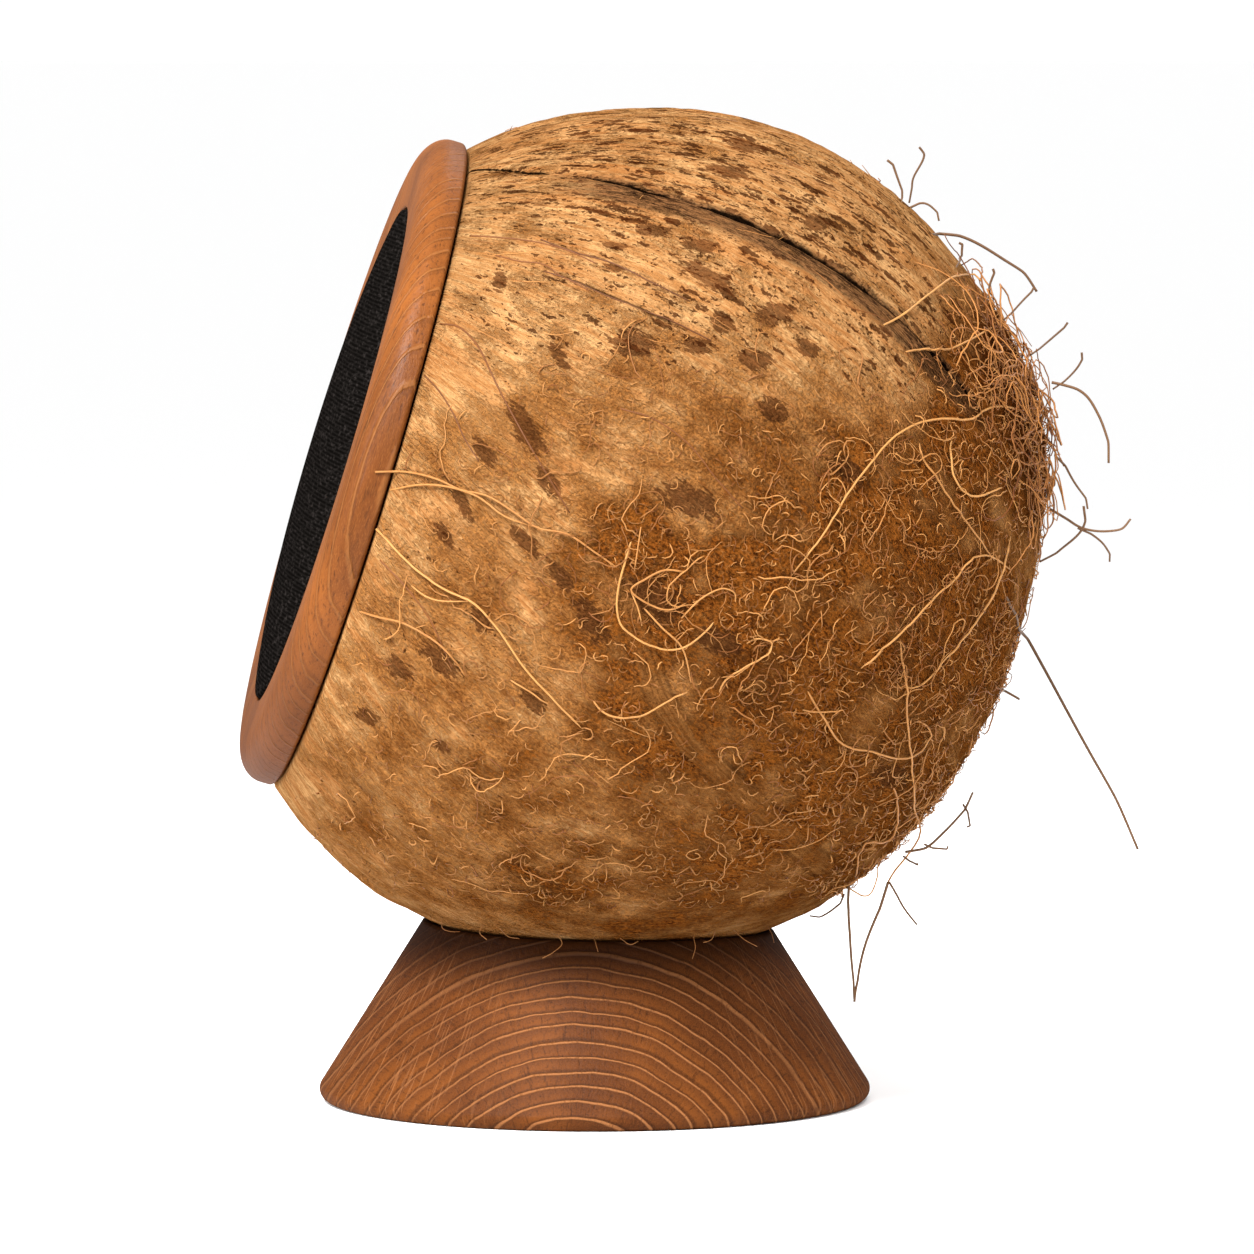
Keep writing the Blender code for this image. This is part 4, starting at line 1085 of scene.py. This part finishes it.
def woodFinish(name, wood):
    # growth rings as distance from a pith line, rays across them, pores along the fibre
    finish, shader = newFinish(name)
    onPith = {"Vector": placeOnObject(), "Location": [-x * mm for x in wood["pith"]]}
    onPith = node("Mapping", onPith, vector_type="POINT")
    turned = node("Mapping", {"Vector": onPith, "Rotation": [math.radians(x) for x in wood["turn"]]})
    place = vectorMaths("MULTIPLY", turned, (1 / mm, 1 / mm, 1 / mm))
    warp = {"Vector": vectorMaths("MULTIPLY", place, (0.09, 0.09, 0.03)), "Scale": 1.0, "Detail": 4.0}
    shift = vectorMaths("SUBTRACT", node("TexNoise", warp, "Color"), (0.5, 0.5, 0.5))
    shift = vectorMaths("MULTIPLY", shift, (wood["warp"], wood["warp"], 0.0))
    x, y, z = parts(vectorMaths("ADD", place, shift))
    distance = maths("SQRT", x * x + y * y)
    cycle = maths("FRACT", distance / wood["spacing"] + cloudy(joined(distance), (0.2, 1, 1)) * 1.1)
    around = joined(distance, maths("ARCTAN2", y, x) * 40.0, z)
    tick = cloudy(around, (0.35, 1.5, 0.3), 3, 0.6)
    pore = cloudy(place, (2.2, 2.2, 0.16), 3, 0.65)
    tiny = cloudy(place, (7.0, 7.0, 1.2), 2, 0.6)
    broad = cloudy(place, (0.06, 0.06, 0.02), 3)
    patterns = {"cycle": cycle, "tick": tick, "pore": pore, "broad": broad}

    colour = coloured(
        patterns, ("broad", 0.35, 0.65, wood["dark"], wood["mid"]),
        ("cycle", 0.25, 0.9, wood["lateAndShadowShare"], wood["late"]),
        ("pore", 0.52, 0.7, wood["poreShare"], wood["pore"]),
        ("tick", 0.55, 0.72, wood["tickShare"], wood["pore"]),
        # painted shadow: a thin dark line just past each raised growth line, the shadow that the line casts
        ("cycle", 0.2, 0.05, wood["lateAndShadowShare"], wood["pore"]),
    )
    edge = ramp(cycle, 0.79, 0.88) * ramp(cycle, 1.0, 0.94) * ramp(tick, 0.25, 0.5, 0.4, 1.0)
    if wood["strokeShare"]:
        bearing = attribute("bearing")
        aside = ramp(abs(parts(bearing)[1]), *wood["lineFade"])
        edge = edge * (aside * -0.6 + 1.0)
    colour = mixed(edge * wood["lineShare"], colour, paint(wood["line"]))
    colour = mixed(ramp(tiny, 0.45, 0.7) * 0.25, colour, paint(wood["light"]))
    height = edge * 0.22 - pore * 0.12 - tick * 0.12
    if wood["strokeShare"]:
        flecks = ramp(cloudy(bearing, (2.6, 2.6, 0.13), 2, 0.5), 0.56, 0.66) * aside
        colour = mixed(flecks * wood["strokeShare"], colour, paint(wood["line"]))
        height = height + flecks * 0.1
    up = parts(placeOnObject())[2] / mm
    # painted shade: the wood darkens to near black towards the top of the foot, under the shell, where the
    # shell shades it
    if wood["rimShade"]:
        rimShadeMask = ramp(broad * 3.0 + up, wood["height"] - 9.0, wood["height"] + 1.0)
        colour = mixed(rimShadeMask * wood["rimShade"], colour, paint((30, 14, 6)))
    # painted shade: the wood turns darker towards its bottom, standing in for the shade on the ring's lower
    # side
    if wood["lowShade"]:
        colour = mixed(ramp(up, *wood["lowShade"]), colour, paint((106, 62, 28)))
    rough = ramp(pore, 0.3, 0.7, wood["roughness"] - 0.06, wood["roughness"] + 0.1)
    coat = {"Coat Weight": wood["shine"], "Coat Roughness": wood["roughness"]}
    bump = finishWith(shader, colour, height, rough, 0.7, {"Specular IOR Level": 0.0, **coat})
    plug(shader, {"Coat Normal": bump})
    return finish


footWood = {
    "radius": 41.7, "topRadius": 25.9, "height": 26.9, "edge": 1.7, "seatGap": 0.3,
    "columns": 360, "sideRows": 60, "seatRows": 22, "bottomRows": 8,
    "pith": (0.0, -7.5, -33.0), "turn": (0.0, -68.2, 0.0), "spacing": 2.4, "warp": 2.0,
    "dark": (98, 58, 29), "mid": (128, 79, 38), "late": (80, 50, 33), "pore": (52, 30, 17),
    "line": (196, 142, 98), "light": (160, 108, 60),
    "lateAndShadowShare": 0.6, "poreShare": 0.5, "tickShare": 0.6, "lineShare": 0.7, "strokeShare": 0.3,
    # the foot's top gets painted shade under the shell, at the share set in the line below
    "lineFade": (9.0, 30.0), "roughness": 0.45, "shine": 0.08, "rimShade": 0.85, "lowShade": None,
    "rimRound": 0.35, "seatLook": (10.0, 40.0),
}


def halve(low, high, isBelow):
    # narrows arrays of bounds to where a test changes from true to false
    for _ in range(30):
        centre = (low + high) / 2
        below = isBelow(centre)
        low, high = np.where(below, centre, low), np.where(below, high, centre)
    return (low + high) / 2


def seatHeight(flat):
    # where the dished top lies under the shell, at places given as x and y
    low, high = footWood["seatLook"]
    low, high = np.full(len(flat), low), np.full(len(flat), high)
    return halve(low, high, lambda z: aboveShell(np.column_stack([flat, z])) > footWood["seatGap"])


def buildFoot():
    wood = footWood
    columns, edge, rounding = wood["columns"], wood["edge"], wood["rimRound"]
    ring = np.stack([np.cos(roundAngles(columns)), np.sin(roundAngles(columns))], -1)
    slope = (wood["radius"] - wood["topRadius"]) / (wood["height"] - edge)

    def onCone(z):
        radius = wood["topRadius"] + slope * (wood["height"] - z)
        return np.column_stack([ring * radius[:, None], z])

    def level(radius, height):
        return np.column_stack([ring * radius, np.full(columns, height)])

    low, high = np.full((2, columns), [[15.0], [32.0]])
    rimHeight = halve(low, high, lambda z: aboveShell(onCone(z)) > wood["seatGap"])
    leanIn = math.atan(slope)
    inner = wood["radius"] - edge / math.cos(leanIn)
    rows = [level(inner * k / wood["bottomRows"], 0.0) for k in range(1, wood["bottomRows"])]
    for angle in np.linspace(-np.pi / 2, leanIn, 12):
        rows.append(level(inner + edge * math.cos(angle), edge + edge * math.sin(angle)))
    low, high = onCone(rows[-1][:, 2]), onCone(rimHeight - rounding)
    for t in np.linspace(0, 1, wood["sideRows"] + 1)[1:]:
        rows.append(low + (high - low) * t)
    rim = onCone(rimHeight)[:, :2]
    rim = rim * (1 - rounding / np.linalg.norm(rim, axis=1))[:, None]
    for t in np.linspace(1, 0, wood["seatRows"] + 1)[:-1]:
        rows.append(np.column_stack([rim * t, seatHeight(rim * t)]))
    poles = [[0, 0, 0], [0, 0, seatHeight(np.zeros((1, 2)))[0]]]
    points = np.concatenate([np.concatenate(rows), poles])
    bearing = np.column_stack([unit(points[:, :2] + 1e-9) * 34.0, points[:, 2]])
    finish = woodFinish("footWood", wood)
    faces = closedGrid(len(rows), columns)
    piece = makePiece("turned_foot", points, faces, finish, {"bearing": bearing})
    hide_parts("foot")


buildFoot()
print("foot turned")


ringWood = {
    "bore": 38.4, "rebate": 41.6, "step": 4.6, "height": 6.4, "crown": 44.6, "shoulder": 2.3, "gap": 0.3,
    "columns": 320, "pith": (-16.0, -60.0, 90.0), "turn": (17.0, 0.0, 0.0), "spacing": 2.1, "warp": 3.0,
    "dark": (126, 76, 34), "mid": (168, 106, 50), "late": (130, 79, 37), "pore": (76, 42, 20),
    "line": (208, 156, 100), "light": (192, 134, 74),
    "lateAndShadowShare": 0.3, "poreShare": 0.75, "tickShare": 0.15, "lineShare": 0.22, "strokeShare": 0.0,
    # the ring's lower part is darkened below 84 mm as painted shade
    "roughness": 0.4, "shine": 0.22, "rimShade": 0.0, "lowShade": (84.0, 46.0, 0.0, 0.7),
}


def arcPoints(centreRadius, centreHeight, reachRadius, reachHeight, start, end, count):
    # points of an ellipse from a start to an end angle, in radius and height
    angle = np.radians(np.linspace(start, end, count))
    radius, height = reachRadius * np.cos(angle), reachHeight * np.sin(angle)
    return np.stack([centreRadius + radius, centreHeight + height], -1)


def carriedRound(profile, columns):
    # a profile of radius and height carried round the mouth's axis
    angle = roundAngles(columns)
    radius, height = profile[:, 0, None], profile[:, 1, None]
    local = np.stack(np.broadcast_arrays(radius * np.cos(angle), radius * np.sin(angle), height), -1)
    return mouthCentre + local @ mouthFrame


def buildRing():
    wood, outer = ringWood, mouth["ringRadius"]
    bore, rebate, crown, shoulder = wood["bore"], wood["rebate"], wood["crown"], wood["shoulder"]
    step, top, gap = wood["step"], wood["height"], wood["gap"]
    profile = np.concatenate([
        arcPoints(crown, shoulder, outer - crown, top - shoulder, 90, 0, 18),
        [[outer, 1.6]],
        arcPoints(outer - 0.7, 1.0, 0.7, 0.7, 0, -90, 6),
        [[rebate + 0.2, gap], [rebate, gap + 0.2], [rebate, step], [bore, step], [bore, top - 0.75]],
        arcPoints(bore + 0.45, top - 0.65, 0.45, 0.45, 180, 95, 5),
        [[bore + 2.0, top - 0.12], [crown - 2.0, top - 0.02]],
    ])
    rows = carriedRound(profile, wood["columns"])
    faces = [gridFaces(len(profile), wood["columns"], wrapRows=True)]
    piece = makePiece("turned_ring", rows, faces, woodFinish("ringWood", wood))
    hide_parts("front_ring")


buildRing()
print("ring turned")


# The grille cloth

cloth = {
    "radius": 38.1, "edgeHeight": 6.3, "rise": 2.1, "power": 3.3, "tuck": 4.75,
    "rows": 48, "columns": 160, "thread": 0.6, "thick": 0.3, "flat": 79.2,
}


def clothFinish():
    # the sum of a sine across and one along gives the weave, with uneven yarn and lint over it
    finish, shader = newFinish("speakerCloth")
    u, v, _ = parts(node("UVMap", uv_map="thread"))
    pitch = 2 * math.pi / cloth["thread"]
    weave = (maths("SINE", u * pitch) + maths("SINE", v * pitch)) * 0.5
    place = vectorMaths("MULTIPLY", placeOnObject(), (1 / mm, 1 / mm, 1 / mm))
    uneven = cloudy(place, (0.8, 0.8, 0.8), 4, 0.7)
    patterns = {"weave": weave, "lint": cloudy(place, (0.5, 1.6, 1.6), 4, 0.75)}
    threads = ("weave", -0.5, 0.9, (10, 10, 11), (32, 33, 36))
    colour = coloured(patterns, threads, ("lint", 0.52, 0.64, 0.7, (62, 63, 69)))
    finishWith(shader, colour, weave * 0.12 + uneven * 0.6, 0.8, 0.8, {"Specular IOR Level": 0.0})
    return finish


def buildCloth():
    edge, edgeHeight, columns = cloth["radius"], cloth["edgeHeight"], cloth["columns"]
    radius = np.linspace(0, edge - 0.15, cloth["rows"] + 1)[1:]
    height = edgeHeight + cloth["rise"] * (1 - (radius / edge) ** cloth["power"])
    tucked = [[edge, edgeHeight - 0.35], [edge, cloth["tuck"]]]
    rows = carriedRound(np.concatenate([np.stack([radius, height], -1), tucked]), columns)
    top = mouthCentre + mouthFrame[2] * (edgeHeight + cloth["rise"])
    points = np.concatenate([rows.reshape(-1, 3), [top]])
    faces = [gridFaces(len(rows), columns)[:, ::-1], poleFaces(np.arange(columns), len(points) - 1, False)]
    piece = makePiece("stretched_cloth", points, faces, clothFinish())
    local = (points - mouthCentre) @ mouthFrame.T
    corners = np.zeros(len(piece.data.loops), np.int32)
    piece.data.loops.foreach_get("vertex_index", corners)
    thread = piece.data.uv_layers.new(name="thread").data
    thread.foreach_set("uv", local[corners, :2].astype(np.float32).ravel())
    wall = piece.modifiers.new("clothThickness", "SOLIDIFY")
    wall.thickness, wall.offset = cloth["thick"] * mm, -1
    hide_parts("grille_cloth")


buildCloth()
print("cloth stretched")


# The solids that stay: what the shell holds inside, and the inlet

innerFinishes = {
    # material slot: dark, light, roughness, metallic, grain size and stretch
    "black_plastic": ((24, 24, 25), (40, 40, 42), 0.5, 0.0, (1.5, 1.5, 1.5)),
    "plywood": ((160, 118, 74), (208, 168, 118), 0.7, 0.0, (0.15, 0.15, 1.6)),
    "steel": ((150, 152, 155), (196, 198, 200), 0.35, 1.0, (0.4, 4.0, 0.4)),
    "ferrite": ((62, 62, 66), (84, 84, 88), 0.6, 0.0, (2.0, 2.0, 2.0)),
    "rubber": ((20, 20, 20), (34, 34, 34), 0.65, 0.0, (2.0, 2.0, 2.0)),
    "cone_paper": ((40, 40, 40), (62, 61, 58), 0.9, 0.0, (1.2, 1.2, 1.2)),
    "spider_fabric": ((160, 112, 52), (196, 146, 80), 0.9, 0.0, (3.0, 3.0, 3.0)),
    "brass_metal": ((196, 128, 70), (226, 160, 96), 0.4, 1.0, (0.5, 0.5, 5.0)),
    "circuit_board": ((16, 82, 44), (30, 108, 60), 0.4, 0.0, (1.0, 1.0, 1.0)),
    "cell_wrap": ((34, 82, 150), (52, 104, 176), 0.4, 0.0, (0.8, 0.8, 0.8)),
    "lead_sheath": ((24, 24, 24), (44, 44, 44), 0.6, 0.0, (2.0, 2.0, 2.0)),
}


def innerFinish(name, dark, light, roughness, metallic, grain):
    # two colours mottled by noise stretched along the material's grain
    finish, shader = newFinish(name)
    place = vectorMaths("MULTIPLY", placeOnObject(), (1 / mm, 1 / mm, 1 / mm))
    mottle = cloudy(place, grain, 3, 0.6)
    colour = coloured({"mottle": mottle}, ("mottle", 0.35, 0.65, dark, light))
    finishWith(shader, colour, mottle * 0.05, roughness, 0.5, {"Metallic": metallic})
    return finish


def finishSolids():
    made = {slot: innerFinish(slot, *values) for slot, values in innerFinishes.items()}
    for row in frame["record"]["subparts"]:
        solid = frame["nodes"][row["node"]]
        if row["material_slot"] in made and not solid.hide_render:
            solid.data.materials.clear()
            solid.data.materials.append(made[row["material_slot"]])


finishSolids()
print("inner parts finished")


# Floor and light

studio = {
    "floor": 40.0,  # metres from the middle to the edge
    "floorRows": 8,
    "floorColumns": 48,
    "floorHeight": -0.02,
    "floorShade": 0.965,
    "world": 1.03,
    # place in metres, size, power in watts, spread in degrees
    "lights": (
        ((0.90, -0.62, 1.30), 0.55, 3.8, 40.0),
        ((1.10, 0.10, 0.75), 0.60, 0.75, 40.0),
        ((-0.95, 0.25, 0.95), 0.50, 0.3, 40.0),
        ((0.35, -1.25, 0.60), 0.55, 0.8, 40.0),
    ),
}


def buildStudio():
    columns, height = studio["floorColumns"], studio["floorHeight"]
    radius = np.linspace(0, 1, studio["floorRows"] + 1)[1:, None] ** 3 * studio["floor"] / mm
    x, y = radius * np.cos(roundAngles(columns)), radius * np.sin(roundAngles(columns))
    rows = np.stack([x, y, np.full(x.shape, height)], -1)
    faces = [gridFaces(len(rows), columns), poleFaces(np.arange(columns), len(rows) * columns, True)]
    points = np.concatenate([rows.reshape(-1, 3), [[0, 0, height]]])
    finish, shader = newFinish("paleFloor")
    shade = (studio["floorShade"],) * 3
    plug(shader, {"Base Color": (*shade, 1.0), "Roughness": 0.9, "Specular IOR Level": 0.1})
    makeMesh("floor", points, faces, finish)
    for index, (place, size, power, spread) in enumerate(studio["lights"]):
        name = f"softLight{index}"
        lamp = bpy.data.lights.new(name, "AREA")
        lamp.size, lamp.energy, lamp.spread = size, power, math.radians(spread)
        away = unit(np.array(place) - np.array(view["target"]) * mm)
        side = unit(np.cross([0, 0, 1.0], away))
        placeInScene(name, lamp, side, np.cross(away, side), away, place)
    world = bpy.data.worlds.new("softSky")
    world.use_nodes = True
    plug(world.node_tree.nodes["Background"], {"Color": (1, 1, 1, 1), "Strength": studio["world"]})
    bpy.context.scene.world = world
    bpy.context.scene.view_settings.view_transform = "Standard"


buildStudio()
print("studio set")
